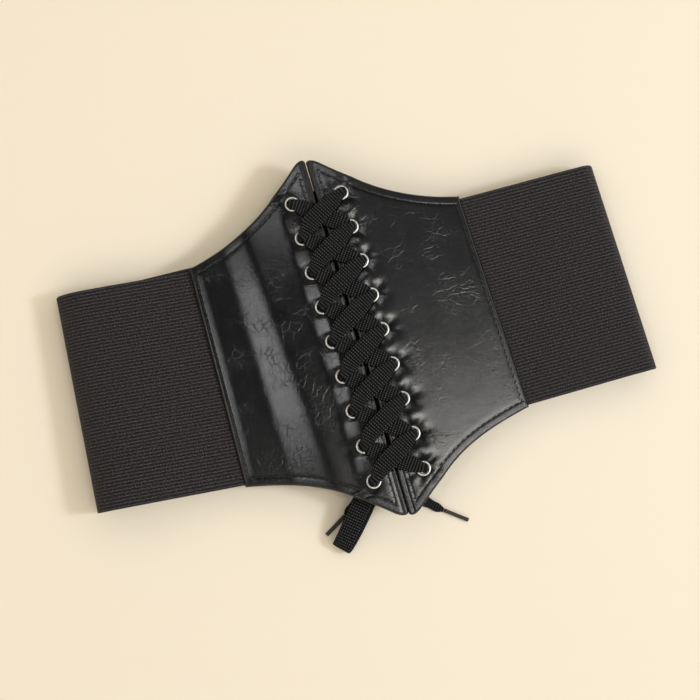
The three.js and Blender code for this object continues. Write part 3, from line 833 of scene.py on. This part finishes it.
def edge_curve():
    """The panel's upper outline from the centre to the seam, as x and y."""
    rise = POINT_HEIGHT - SEAM_HEIGHT
    place = [(0.12, 0.885), (0.2, 0.752), (0.3, 0.6), (0.55, 0.18), (1.0, 0.0)]
    start, bend, straight, hollow, end = (
        np.array([x * PANEL_HALF_WIDTH, SEAM_HEIGHT + y * rise]) for x, y in place
    )
    t = np.linspace(0, 1, 40)[:, None]
    first = np.array([CENTRE_GAP / 2, POINT_HEIGHT - POINT_ROUND / 4])
    control = np.array([POINT_ROUND / 2, POINT_HEIGHT + POINT_ROUND / 4])
    tip = first * (1 - t) ** 2 + 2 * control * t * (1 - t) + start * t * t
    hollow_curve = straight * (1 - t) ** 2 + 2 * hollow * t * (1 - t) + end * t * t
    return np.concatenate([tip, [bend], hollow_curve])


def distance_to(points, path):
    """How far each point lies from a path of straight lines."""
    nearest = np.full(len(points), 1e9)
    for a, b in zip(path, path[1:]):
        line = b - a
        t = np.clip(((points - a) @ line) / max(line @ line, 1e-9), 0, 1)
        gap = np.linalg.norm(points - a - t[:, None] * line, axis=1)
        nearest = np.minimum(nearest, gap)
    return nearest


def panel_outline():
    """The whole outline of a flat panel, once round."""
    upper = edge_curve()
    return np.concatenate([upper, upper[::-1] * [1, -1], upper[:1]])


def stitch_line():
    """The upper half of the topstitching, inside the outline by its insets."""
    upper = edge_curve()
    tangent = unit(np.gradient(upper, axis=0))
    inside = upper + np.stack([tangent[:, 1], -tangent[:, 0]], axis=1) * STITCH_INSET["edge"]
    order = np.argsort(inside[:, 0], kind="stable")
    x = np.linspace(STITCH_INSET["centre"], PANEL_HALF_WIDTH - STITCH_INSET["seam"], 90)
    y = np.interp(x, inside[order, 0], inside[order, 1])
    return np.stack([x, y], axis=1)


def stitch_path():
    """The closed line of topstitching."""
    top = stitch_line()
    return np.concatenate([top, top[::-1] * [1, -1], top[:1]])


def panel_height(side, x, y):
    """The outer face's height over the surface, away from edges and eyelets."""
    slope = SLOPES[side]
    start = ramp(x, slope["from"] + slope["lean"] * y, slope["soft"])
    end = ramp(x, slope["to"] + slope["end_lean"] * y, slope["soft"])
    drop = math.tan(math.radians(slope["angle"])) * (start - end)
    pulled_in = CENTRE_PULL["depth"] * (1 - smooth(*CENTRE_PULL["fades"], np.abs(y)))
    return FRONT_HEIGHT - pulled_in * bell(x, CENTRE_PULL["width"]) - drop


def seam_dip(side, x):
    """How far the face sinks to the side seam, where the panel is thinnest."""
    from_seam = PANEL_HALF_WIDTH - STITCH_INSET["seam"] - x
    return SEAM_DIP[side] * (1 - smooth(0, SEAM_DIP_WIDTH, from_seam))


def eyelet_rows():
    """The middles of a panel's eyelets, as x and y, in the panel's own terms."""
    rows = (EYELETS - 1) / 2 - np.arange(EYELETS)
    return np.stack([np.full(EYELETS, EYELET_FROM_CENTRE), rows * EYELET_PITCH], axis=1)


def pucker(side, x, y):
    """How the lace's pull gathers the leather round the eyelets."""
    rise = np.zeros_like(x)
    for ex, ey in eyelet_rows():
        r = np.hypot(x - ex, y - ey)
        rise -= DIMPLE_DEPTH[side] * bell(r, DIMPLE_WIDTH)
        angle = np.arctan2(y - ey, x - ex)
        rays = np.cos(RAYS * angle + 0.9 * ey)
        rise += RAY_HEIGHT[side] * rays * bell(r - RAY_DISTANCE, RAY_WIDTH)
    from_point = POINT_HEIGHT - np.abs(y)
    between = np.cos(2 * math.pi * y / EYELET_PITCH)
    inside = smooth(*EYELET_STEP_FADES, from_point)
    if side == "left":
        start = ramp(x, EYELET_SLOPE["from"], EYELET_SLOPE["soft"])
        end = ramp(x, EYELET_SLOPE["to"], EYELET_SLOPE["end_soft"])
        fall = (start - end) * smooth(*EYELET_SLOPE_FADES, from_point)
        rise -= math.tan(math.radians(EYELET_SLOPE["angle"])) * fall
        left_to_fall = EYELET_SLOPE["to"] - EYELET_SLOPE["from"] - fall
        rise += EYELET_STEP * left_to_fall * smooth(-0.35, 0.35, -between) * inside
    else:
        near = bell(x - EYELET_FROM_CENTRE - 1, EYELET_WAVE["width"])
        rise -= EYELET_WAVE["height"] * between * near * inside
    return rise


def lay_flat(side, sign, x, y):
    """Where a point of the flat panel lies on the belt, from its middle."""
    slant = math.tan(math.radians(SEAM_SLANT_DEG))
    out = x / PANEL_HALF_WIDTH
    lean = FOOT_LEAN["most"] * smooth(*FOOT_LEAN["grows"], -y)
    lean += HEAD_LEAN["most"] * smooth(*HEAD_LEAN["grows"], y)
    lean *= (1 - smooth(0, LEAN_REACH, x)) * (sign > 0)
    across = x - out * y * slant + SEAM_OUT[side] * out - lean
    down = (RIGHT_DROP if sign > 0 else 0) + SEAM_DROP[side] * smooth(0.3, 1, out)
    return sign * across, y - down


def front_panel(name, side, sign):
    """One panel as a thick shell with its holes, edges and stitched groove."""
    upper = edge_curve()
    bead_zone = np.linspace(CENTRE_GAP / 2, CENTRE_BEAD_ZONE, 11)
    body = np.arange(CENTRE_BEAD_ZONE + PANEL_STEP, PANEL_HALF_WIDTH - PANEL_STEP / 2, PANEL_STEP)
    x_line = np.concatenate([bead_zone, body, [PANEL_HALF_WIDTH]])
    columns = len(x_line)
    top = np.interp(x_line, upper[:, 0], upper[:, 1])
    rows = int(2 * POINT_HEIGHT / PANEL_STEP)
    x = np.repeat(x_line[:, None], rows, axis=1)
    y = top[:, None] * np.linspace(-1, 1, rows)[None]
    flat = np.stack([x.ravel(), y.ravel()], axis=1)

    # The mesh's points next to a hole are drawn to its edge.
    holes = eyelet_rows()
    for hole in holes:
        away = flat - hole
        r = np.linalg.norm(away, axis=1)
        off_hole = r - EYELET_HOLE
        ring = (off_hole > -HOLE_REACH["inwards"]) & (off_hole < HOLE_REACH["outwards"])
        flat[ring] = hole + away[ring] / r[ring, None] * EYELET_HOLE
    x, y = flat.T

    edge = distance_to(flat, panel_outline())
    stitch = distance_to(flat, stitch_path())
    outside = (
        (x < STITCH_INSET["centre"])
        | (x > PANEL_HALF_WIDTH - STITCH_INSET["seam"])
        | (np.abs(y) > np.interp(x, *stitch_line().T))
    )
    z = panel_height(side, x, y) + pucker(side, x, y) - seam_dip(side, x)
    z += np.where(outside, 0.0, PUFF) * smooth(0, 3.0, stitch)
    z -= STITCH_GROOVE["depth"] * bell(stitch, STITCH_GROOVE["width"])
    z += CENTRE_BEAD["height"] * bell(x - CENTRE_BEAD["from_centre"], CENTRE_BEAD["width"])
    z -= CENTRE_CREASE["depth"] * bell(x - CENTRE_CREASE["from_centre"], CENTRE_CREASE["width"])
    round_edge = np.clip(1 - edge / EDGE_ROUND, 0, 1)
    z -= EDGE_ROUND_DROP * (1 - np.sqrt(1 - 0.96 * round_edge**2))
    under = panel_height(side, x, y) - PANEL_WALL
    under = np.minimum(under + 0.3 * round_edge, z - EDGE_WALL)

    sx, sy = lay_flat(side, sign, x, y)
    upper_face = np.stack([sx, sy, z], axis=1) + MIDDLE
    lower_face = np.stack([sx, sy, under], axis=1) + MIDDLE

    i, j = np.meshgrid(np.arange(columns - 1), np.arange(rows - 1), indexing="ij")
    a = (i * rows + j).ravel()
    quads = np.stack([a, a + rows, a + rows + 1, a + 1], axis=1)
    centres = flat[quads].mean(axis=1)
    for hole in holes:
        clear = np.linalg.norm(centres - hole, axis=1) > EYELET_HOLE - 0.1
        quads = quads[clear]
        centres = centres[clear]

    # The walls of the edge and the holes stand on the sides that one face has.
    sides = {}
    for quad in quads.tolist():
        for pair in zip(quad, quad[1:] + quad[:1]):
            if pair[::-1] in sides:
                del sides[pair[::-1]]
            else:
                sides[pair] = True
    count = len(flat)
    walls = [[b, a, a + count, b + count] for a, b in sides]
    faces = np.concatenate([quads, quads[:, ::-1] + count, walls])
    if sign < 0:
        faces = faces[:, ::-1]
    used, faces = np.unique(faces, return_inverse=True)
    points = np.concatenate([upper_face, lower_face])[used]
    piece = mesh_piece(name, points, faces.reshape(-1, 4).tolist(), leather)
    attribute = piece.data.attributes.new("stitch_gap", "FLOAT", "POINT")
    attribute.data.foreach_set("value", np.tile(stitch, 2)[used].astype(np.float32))
    return piece


leather = leather_material()
for side, sign in (("left", -1), ("right", 1)):
    panel = front_panel(f"{side}_front_panel", side, sign)
    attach(panel, "root")
    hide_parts(f"{side}_panel")

# The topstitching.
# Black bonded thread, one stitch about 3.6 mm long, sunk in its groove all
# round each panel.

STITCH_PITCH = 3.6
STITCH_LENGTH = 2.5
STITCH_RISE = 0.04
THREAD_RADIUS = 0.33
THREAD_TWIST = 1 / 3


def thread_material():
    """Bonded polyester thread: matt black, with a fine twist."""
    material, tree, surface = new_material("bonded_thread")
    place = add_node(tree, "ShaderNodeTexCoord").outputs["Object"]
    twist = add_node(tree, "ShaderNodeTexNoise", Vector=place, Scale=1 / (THREAD_TWIST * MM))
    bump = add_node(tree, "ShaderNodeBump", Strength=0.4, Distance=0.1 * MM, Height=twist)
    set_inputs(tree, surface, Base_Color=srgb("0a0a0a"), Normal=bump, Roughness=0.55)
    return material


def sized_tree(name, sizes):
    """A geometry nodes tree with named inputs for its sizes, and its input node."""
    tree = bpy.data.node_groups.new(name, "GeometryNodeTree")
    tree.interface.new_socket("Geometry", in_out="INPUT", socket_type="NodeSocketGeometry")
    for label in sizes:
        tree.interface.new_socket(label, in_out="INPUT", socket_type="NodeSocketFloat")
    tree.interface.new_socket("Geometry", in_out="OUTPUT", socket_type="NodeSocketGeometry")
    return tree, add_node(tree, "NodeGroupInput")


def end_tree(tree, instances, material):
    """Make a tree's instances real, give them their material and hand them out."""
    real = add_node(tree, "GeometryNodeRealizeInstances", Geometry=instances)
    dressed = add_node(tree, "GeometryNodeSetMaterial", Geometry=real, Material=material)
    add_node(tree, "NodeGroupOutput", Geometry=dressed)


def stitch_tree(sizes, material):
    """Geometry nodes that lay one stitch on a path at every pitch."""
    tree, given = sized_tree("topstitch", sizes)
    path = add_node(tree, "GeometryNodeMeshToCurve", Mesh=given.outputs["Geometry"])
    spots = add_node(
        tree, "GeometryNodeCurveToPoints", {"mode": "LENGTH"},
        Curve=path, Length=given.outputs["Pitch"],
    )
    bead = add_node(tree, "GeometryNodeMeshUVSphere", Segments=8, Rings=6, Radius=1.0)
    half = add_node(
        tree, "ShaderNodeMath", {"operation": "MULTIPLY"},
        Value=given.outputs["Length"], Value__1=0.5,
    )
    radius = given.outputs["Radius"]
    size = add_node(tree, "ShaderNodeCombineXYZ", X=radius, Y=radius, Z=half)
    laid = add_node(
        tree, "GeometryNodeInstanceOnPoints",
        Points=spots, Instance=bead, Rotation=spots.outputs["Rotation"], Scale=size,
    )
    end_tree(tree, laid, material)
    return tree


def made_by_nodes(name, points, edges, tree, sizes):
    """A plain mesh made by a geometry nodes tree from points and edges."""
    mesh = bpy.data.meshes.new(name + "_path")
    mesh.from_pydata((np.asarray(points) * MM).tolist(), edges, [])
    carrier = bpy.data.objects.new(name + "_path", mesh)
    bpy.context.scene.collection.objects.link(carrier)
    modifier = carrier.modifiers.new("nodes", "NODES")
    modifier.node_group = tree
    named = {item.name: item.identifier for item in tree.interface.items_tree}
    for label, value in sizes.items():
        modifier[named[label]] = value * MM
    bpy.context.view_layer.update()
    evaluated = carrier.evaluated_get(bpy.context.evaluated_depsgraph_get())
    made = bpy.data.meshes.new_from_object(evaluated)
    made.name = name
    bpy.data.objects.remove(carrier)
    made.polygons.foreach_set("use_smooth", [True] * len(made.polygons))
    piece = bpy.data.objects.new(name, made)
    bpy.context.scene.collection.objects.link(piece)
    return piece


stitch_sizes = {"Pitch": STITCH_PITCH, "Length": STITCH_LENGTH, "Radius": THREAD_RADIUS}
stitching = stitch_tree(stitch_sizes, thread_material())
for side, sign in (("left", -1), ("right", 1)):
    x, y = stitch_path()[:-1].T
    z = panel_height(side, x, y) + pucker(side, x, y) - seam_dip(side, x) + STITCH_RISE
    sx, sy = lay_flat(side, sign, x, y)
    line = np.stack([sx, sy, z], axis=1) + MIDDLE
    ring = [(k, (k + 1) % len(line)) for k in range(len(line))]
    stitches = made_by_nodes(f"{side}_topstitching", line, ring, stitching, stitch_sizes)
    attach(stitches, "root")

# The eyelets.
# Nickel-plated brass, pressed: a rolled rim on the front, a short barrel
# through the leather and a flat turned lip behind.

EYELET_SUNK = 0.3
NICKEL_WEAR = 1.111

# Each ring of an eyelet: its radius, its wire's radius, how tall the wire's
# section is drawn out, and its height over the leather.
EYELET_RINGS = {
    "Rim": {"radius": 3.5, "wire": 0.62, "tall": 0.85, "height": 0.25},
    "Barrel": {"radius": 2.85, "wire": 0.2, "tall": 9.0, "height": -1.6},
    "Back lip": {"radius": 3.4, "wire": 0.5, "tall": 0.6, "height": -PANEL_WALL - 0.55},
}


def nickel_material():
    """Polished nickel plate: a bright, slightly warm mirror, a little worn."""
    material, tree, surface = new_material("nickel_plate")
    place = add_node(tree, "ShaderNodeTexCoord").outputs["Object"]
    wear = add_node(
        tree, "ShaderNodeTexNoise", Vector=place, Scale=1 / (NICKEL_WEAR * MM), Detail=3.0
    )
    gloss = add_node(tree, "ShaderNodeMapRange", Value=wear, To_Min=0.34, To_Max=0.44)
    set_inputs(tree, surface, Base_Color=srgb("d9d8d3"), Metallic=1.0, Roughness=gloss)
    return material


def eyelet_tree(sizes, material):
    """Geometry nodes that set one eyelet on each point."""
    tree, given = sized_tree("eyelets", sizes)
    joined = add_node(tree, "GeometryNodeJoinGeometry")
    for part, row in EYELET_RINGS.items():
        radius, wire, height = (
            given.outputs[f"{part} {size}"] for size in ("radius", "wire", "height")
        )
        circle = add_node(tree, "GeometryNodeCurvePrimitiveCircle", Resolution=40, Radius=radius)
        section = add_node(tree, "GeometryNodeCurvePrimitiveCircle", Resolution=12, Radius=wire)
        ring = add_node(tree, "GeometryNodeCurveToMesh", Curve=circle, Profile_Curve=section)
        lifted = add_node(tree, "ShaderNodeCombineXYZ", Z=height)
        placed = add_node(
            tree, "GeometryNodeTransform",
            Geometry=ring, Translation=lifted, Scale=(1, 1, row["tall"]),
        )
        set_inputs(tree, joined, Geometry=placed)
    set_on = add_node(
        tree, "GeometryNodeInstanceOnPoints", Points=given.outputs["Geometry"], Instance=joined
    )
    end_tree(tree, set_on, material)
    return tree


EYELET_FACE = float(swell_height(np.array([EYELET_FROM_CENTRE]))[0])


def eyelet_middle(sign, row):
    """The middle of an eyelet on the panels' face. Row 0 is nearest the head."""
    x, y = eyelet_rows()[row]
    return np.array([sign * x, y - (RIGHT_DROP if sign > 0 else 0), EYELET_FACE]) + MIDDLE


eyelet_sizes = {
    f"{part} {size}": row[size]
    for part, row in EYELET_RINGS.items()
    for size in ("radius", "wire", "height")
}
pressing = eyelet_tree(eyelet_sizes, nickel_material())
for side, sign in (("left", -1), ("right", 1)):
    middles = [eyelet_middle(sign, row) - [0, 0, EYELET_SUNK] for row in range(EYELETS)]
    eyelets = made_by_nodes(f"{side}_eyelets", middles, [], pressing, eyelet_sizes)
    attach(eyelets, "root")
    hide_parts(*[f"{side}_eyelet_{row}" for row in range(1, EYELETS + 1)])

# The lacing.
# One flat braid laced in a double spiral: each strand comes up a hole, crosses
# down over the front and goes straight across behind to the next.

LACE_WIDTH = 9.5
PANEL_MIDDLE = EYELET_FACE - PANEL_WALL / 2
RIM_TOP = 1.1
INNER_RUN = PANEL_WALL / 2 + RIM_TOP + CLEARANCE + LACE_THICKNESS / 2
OUTER_RUN = INNER_RUN + LACE_THICKNESS + CLEARANCE
OUTER_BULGE = 1.4
OUTER_ARCH = 0.9
RIM_LACE_WIDTH = 4.6

# The lace in a hole that two strands share, and in a hole to itself: its
# distance from the hole's middle, its width and its thickness.
SHARED_HOLE = {"from_middle": 1.05, "width": 3.8, "thickness": 1.6}
OWN_HOLE = {"from_middle": 0.7, "width": 5.2, "thickness": 3.6}


def has_own_hole(eyelet):
    """Whether the lace has this hole to itself, in the first and last rows."""
    return abs(eyelet[1] - MIDDLE[1]) > (EYELETS - 1.5) / 2 * EYELET_PITCH


def strand(start, end, outer, face):
    """Rows for a strand: place, the way across it, its width and thickness."""
    run = OUTER_RUN if outer else INNER_RUN
    gap = (end - start) * [1, 1, 0]
    way = gap / np.linalg.norm(gap)
    across = np.array([-way[1], way[0], 0])
    across *= -1 if across[1] < 0 else 1
    headwards = np.array([0, 1.0, 0])
    bulge = OUTER_BULGE if outer and face > 0 else 0.0
    arch = OUTER_ARCH if outer and face > 0 else 0.0
    sag = RIM_TOP if face > 0 and not outer else 0.0

    def at(share, height, push, way_across, width):
        place = start + gap * share + across * push
        place[2] = PANEL_MIDDLE + face * height
        return place, way_across, width * LACE_WIDTH, LACE_THICKNESS

    def in_hole(eyelet, height, width=None):
        outwards = np.sign(eyelet[0] - MIDDLE[0])
        hole = OWN_HOLE
        if not has_own_hole(eyelet):
            hole = SHARED_HOLE
            outwards *= 1 if outer else -1
        x = eyelet[0] + outwards * hole["from_middle"]
        place = np.array([x, eyelet[1], PANEL_MIDDLE + face * height])
        return place, headwards, width or hole["width"], hole["thickness"]

    return [
        in_hole(start, 0.8),
        in_hole(start, run - 1.1, RIM_LACE_WIDTH),
        at(0.09, run - 0.25, 0.0, headwards + across, 0.74),
        at(0.22, run - sag * 0.6, 0.3 * bulge, across, 0.98),
        at(0.5, run + arch - sag, 0.7 * bulge, across, 1.06),
        at(0.76, run - sag * 0.6, bulge, across, 1.0),
        at(0.91, run - 0.3, 0.4 * bulge, headwards + across, 0.74),
        in_hole(end, run - 1.1, RIM_LACE_WIDTH),
        in_hole(end, 0.8),
    ]


def lace_end(sign):
    """Rows from a last eyelet to the top of the knot behind the lower point."""
    eyelet = eyelet_middle(sign, EYELETS - 1)
    low, high = (np.array(corner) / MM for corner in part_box("bow_knot"))
    knot_middle = (low + high) / 2
    way = unit((knot_middle - eyelet) * [1, 1, 0])
    headwards = np.array([0, 1.0, 0])
    x = eyelet[0] + sign * OWN_HOLE["from_middle"]
    width = SHARED_HOLE["width"]
    behind = np.array([eyelet[0], eyelet[1], PANEL_MIDDLE - INNER_RUN - 0.5]) + way * 3.6
    on_knot = knot_middle - way * 3
    on_knot[2] = high[2] + CLEARANCE + LACE_THICKNESS / 2
    return [
        (np.array([x, eyelet[1], PANEL_MIDDLE - 0.8]), headwards, width, OWN_HOLE["thickness"]),
        (np.array([x, eyelet[1], PANEL_MIDDLE - 2]), headwards, width, SHARED_HOLE["thickness"]),
        (behind, headwards, KNOT_WIDTH, LACE_THICKNESS),
        (on_knot, headwards, KNOT_WIDTH, LACE_THICKNESS),
    ]


def lacing(outer):
    """One end of the lace from the middle bar behind row 0 to the knot."""
    rows = []
    first = 1 if outer else -1
    for row in range(EYELETS - 1):
        up = eyelet_middle(first, row)
        down = eyelet_middle(-first, row + 1)
        rows += strand(up, down, outer, 1)
        if row + 2 < EYELETS:
            rows += strand(down, eyelet_middle(first, row + 1), outer, -1)
    return rows + lace_end(-first)


def lace_piece(name, rows):
    """The braid through a list of rows, its faces turning smoothly."""
    table = np.array([[*place, *unit(across), width, thick] for place, across, width, thick in rows])
    for k in range(1, len(table)):
        if table[k, 3:6] @ table[k - 1, 3:6] < 0:
            table[k, 3:6] *= -1
    line, along = smooth_line(table, LACE_STEP)
    return braid(name, line[:, :3], line[:, 3:6], line[:, 6], line[:, 7], along)


middle_bar = strand(eyelet_middle(-1, 0), eyelet_middle(1, 0), False, -1)
over_lace = lace_piece("over_strands", middle_bar + lacing(True))
under_lace = lace_piece("under_strands", lacing(False))
for piece in (over_lace, under_lace):
    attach(piece, "root")
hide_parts("lace")

# The ground and the light.
# A plain pale floor of matt cream card, which takes soft shadows and no shine.
# The main light stands half high on the right, and four cards over the belt
# give its leather its highlights.

FLOOR_COLOUR = "e9decb"
FLOOR_HALF_SIZE = 3.0

floor_corners = [(-1, -1, 0), (1, -1, 0), (1, 1, 0), (-1, 1, 0)]
floor_mesh = bpy.data.meshes.new("floor")
floor_mesh.from_pydata((np.array(floor_corners) * FLOOR_HALF_SIZE).tolist(), [], [(0, 1, 2, 3)])
floor = bpy.data.objects.new("floor", floor_mesh)
bpy.context.scene.collection.objects.link(floor)
floor_paint, floor_tree, floor_surface = new_material("matt_cream_board")
set_inputs(
    floor_tree, floor_surface,
    Base_Color=srgb(FLOOR_COLOUR), Roughness=0.9, Specular_IOR_Level=0.1,
)
floor_mesh.materials.append(floor_paint)


def lamp(name, place, size, power, colour="ffffff", aim=(0, 0, 0)):
    """A soft rectangular lamp in metres and watts, aimed at a point."""
    data = bpy.data.lights.new(name, "AREA")
    data.shape = "RECTANGLE"
    data.size, data.size_y = size
    data.energy = power
    data.color = srgb(colour)[:3]
    lamp_object = bpy.data.objects.new(name, data)
    lamp_object.location = place
    way = Vector(aim) - Vector(place)
    lamp_object.rotation_euler = way.to_track_quat("-Z", "Y").to_euler()
    bpy.context.scene.collection.objects.link(lamp_object)


# The left card gives the long highlight, the two tip cards light the upper
# points, and the right card is wide and dim.
lamp("main_light", (1.25, -0.42, 1.25), (0.30, 0.30), 13.5, colour="e4f0ff")
lamp("left_card", (-0.26, 0.066, 0.80), (0.204, 0.10), 0.43, aim=(0, 0.066, 0))
lamp("left_tip_card", (0.045, 0.265, 0.80), (0.09, 0.07), 0.16, aim=(0.045, 0.265, 0))
lamp("right_tip_card", (0.130, 0.28, 0.80), (0.09, 0.08), 0.026, aim=(0.130, 0.28, 0))
lamp("right_card", (0.27, 0.07, 0.80), (0.44, 0.26), 0.10, aim=(0, 0.07, 0))

# The room is a warm ring of walls, brighter and paler on the right, and its
# ceiling over the belt is dark, so that flat leather stays black. Two soft
# glows stand off the ceiling's middle towards the foot of the belt, and both
# are strongest on the right.
world = bpy.data.worlds.new("studio")
bpy.context.scene.world = world
world.use_nodes = True
room = world.node_tree
sight = add_node(room, "ShaderNodeTexCoord").outputs["Generated"]
height = add_node(room, "ShaderNodeSeparateXYZ", Vector=sight)
off_middle = add_node(
    room, "ShaderNodeVectorMath", {"operation": "DOT_PRODUCT"},
    Vector=sight, Vector__1=(0.119, 0.079, 0.99),
)
walls = add_node(
    room, "ShaderNodeMapRange", {"interpolation_type": "SMOOTHSTEP"},
    Value=off_middle, From_Min=0.79, From_Max=0.92, To_Min=1.5, To_Max=0.0,
)
low_walls = add_node(
    room, "ShaderNodeMapRange", {"interpolation_type": "SMOOTHSTEP"},
    Value=height.outputs["Z"], From_Min=0.45, From_Max=0.60, To_Min=0.25, To_Max=1.0,
)
ring = add_node(
    room, "ShaderNodeMath", {"operation": "MULTIPLY"}, Value=walls, Value__1=low_walls
)
diagonal = add_node(
    room, "ShaderNodeVectorMath", {"operation": "DOT_PRODUCT"},
    Vector=sight, Vector__1=(0.8, -0.55, 0.0),
)
sides = add_node(
    room, "ShaderNodeMapRange", {"interpolation_type": "SMOOTHSTEP"},
    Value=diagonal, From_Min=-0.7, From_Max=0.6, To_Min=0.6, To_Max=1.25,
)
fill = add_node(room, "ShaderNodeMath", {"operation": "MULTIPLY"}, Value=ring, Value__1=sides)
tint = add_node(
    room, "ShaderNodeMix", {"data_type": "RGBA"},
    Factor=sides, A=srgb("ffe9c0"), B=srgb("fdf6e8"),
)

towards_foot = add_node(
    room, "ShaderNodeMapRange",
    Value=height.outputs["Y"], From_Min=0.10, From_Max=-0.02, To_Max=1.2,
)
rising = add_node(
    room, "ShaderNodeMath", {"operation": "POWER"}, Value=towards_foot, Value__1=6.0
)
to_right = add_node(
    room, "ShaderNodeMapRange", {"interpolation_type": "SMOOTHSTEP"},
    Value=height.outputs["X"], From_Min=0.05, From_Max=0.20,
)
glow = add_node(
    room, "ShaderNodeMath", {"operation": "MULTIPLY"}, Value=rising, Value__1=to_right
)
foot_glow = add_node(
    room, "ShaderNodeMapRange", {"interpolation_type": "SMOOTHSTEP"},
    Value=height.outputs["Y"], From_Min=0.0, From_Max=-0.03, To_Max=0.45,
)
stronger_right = add_node(
    room, "ShaderNodeMath", {"operation": "MULTIPLY_ADD"},
    Value=to_right, Value__1=23.0, Value__2=1.0,
)
both_glows = add_node(
    room, "ShaderNodeMath", {"operation": "MULTIPLY_ADD"},
    Value=foot_glow, Value__1=stronger_right, Value__2=glow,
)

near_end = add_node(
    room, "ShaderNodeMapRange", {"interpolation_type": "SMOOTHSTEP"},
    Value=height.outputs["Y"], From_Min=-0.16, From_Max=-0.07,
)
right_end = add_node(
    room, "ShaderNodeMapRange", {"interpolation_type": "SMOOTHSTEP"},
    Value=height.outputs["X"], From_Min=0.46, From_Max=0.34,
)
overhead_only = add_node(
    room, "ShaderNodeMath", {"operation": "GREATER_THAN"},
    Value=height.outputs["Z"], Value__1=0.5,
)
shine = both_glows
for limit in (near_end, right_end, overhead_only):
    shine = add_node(
        room, "ShaderNodeMath", {"operation": "MULTIPLY"}, Value=shine, Value__1=limit
    )

fill_light = room.nodes["Background"]
set_inputs(room, fill_light, Color=tint, Strength=fill)
ceiling_light = add_node(room, "ShaderNodeBackground", Color=srgb("fffdf8"), Strength=shine)
both = add_node(room, "ShaderNodeAddShader", Shader=fill_light, Shader__1=ceiling_light)
set_inputs(room, room.nodes["World Output"], Surface=both)

bpy.context.scene.view_settings.view_transform = "Standard"
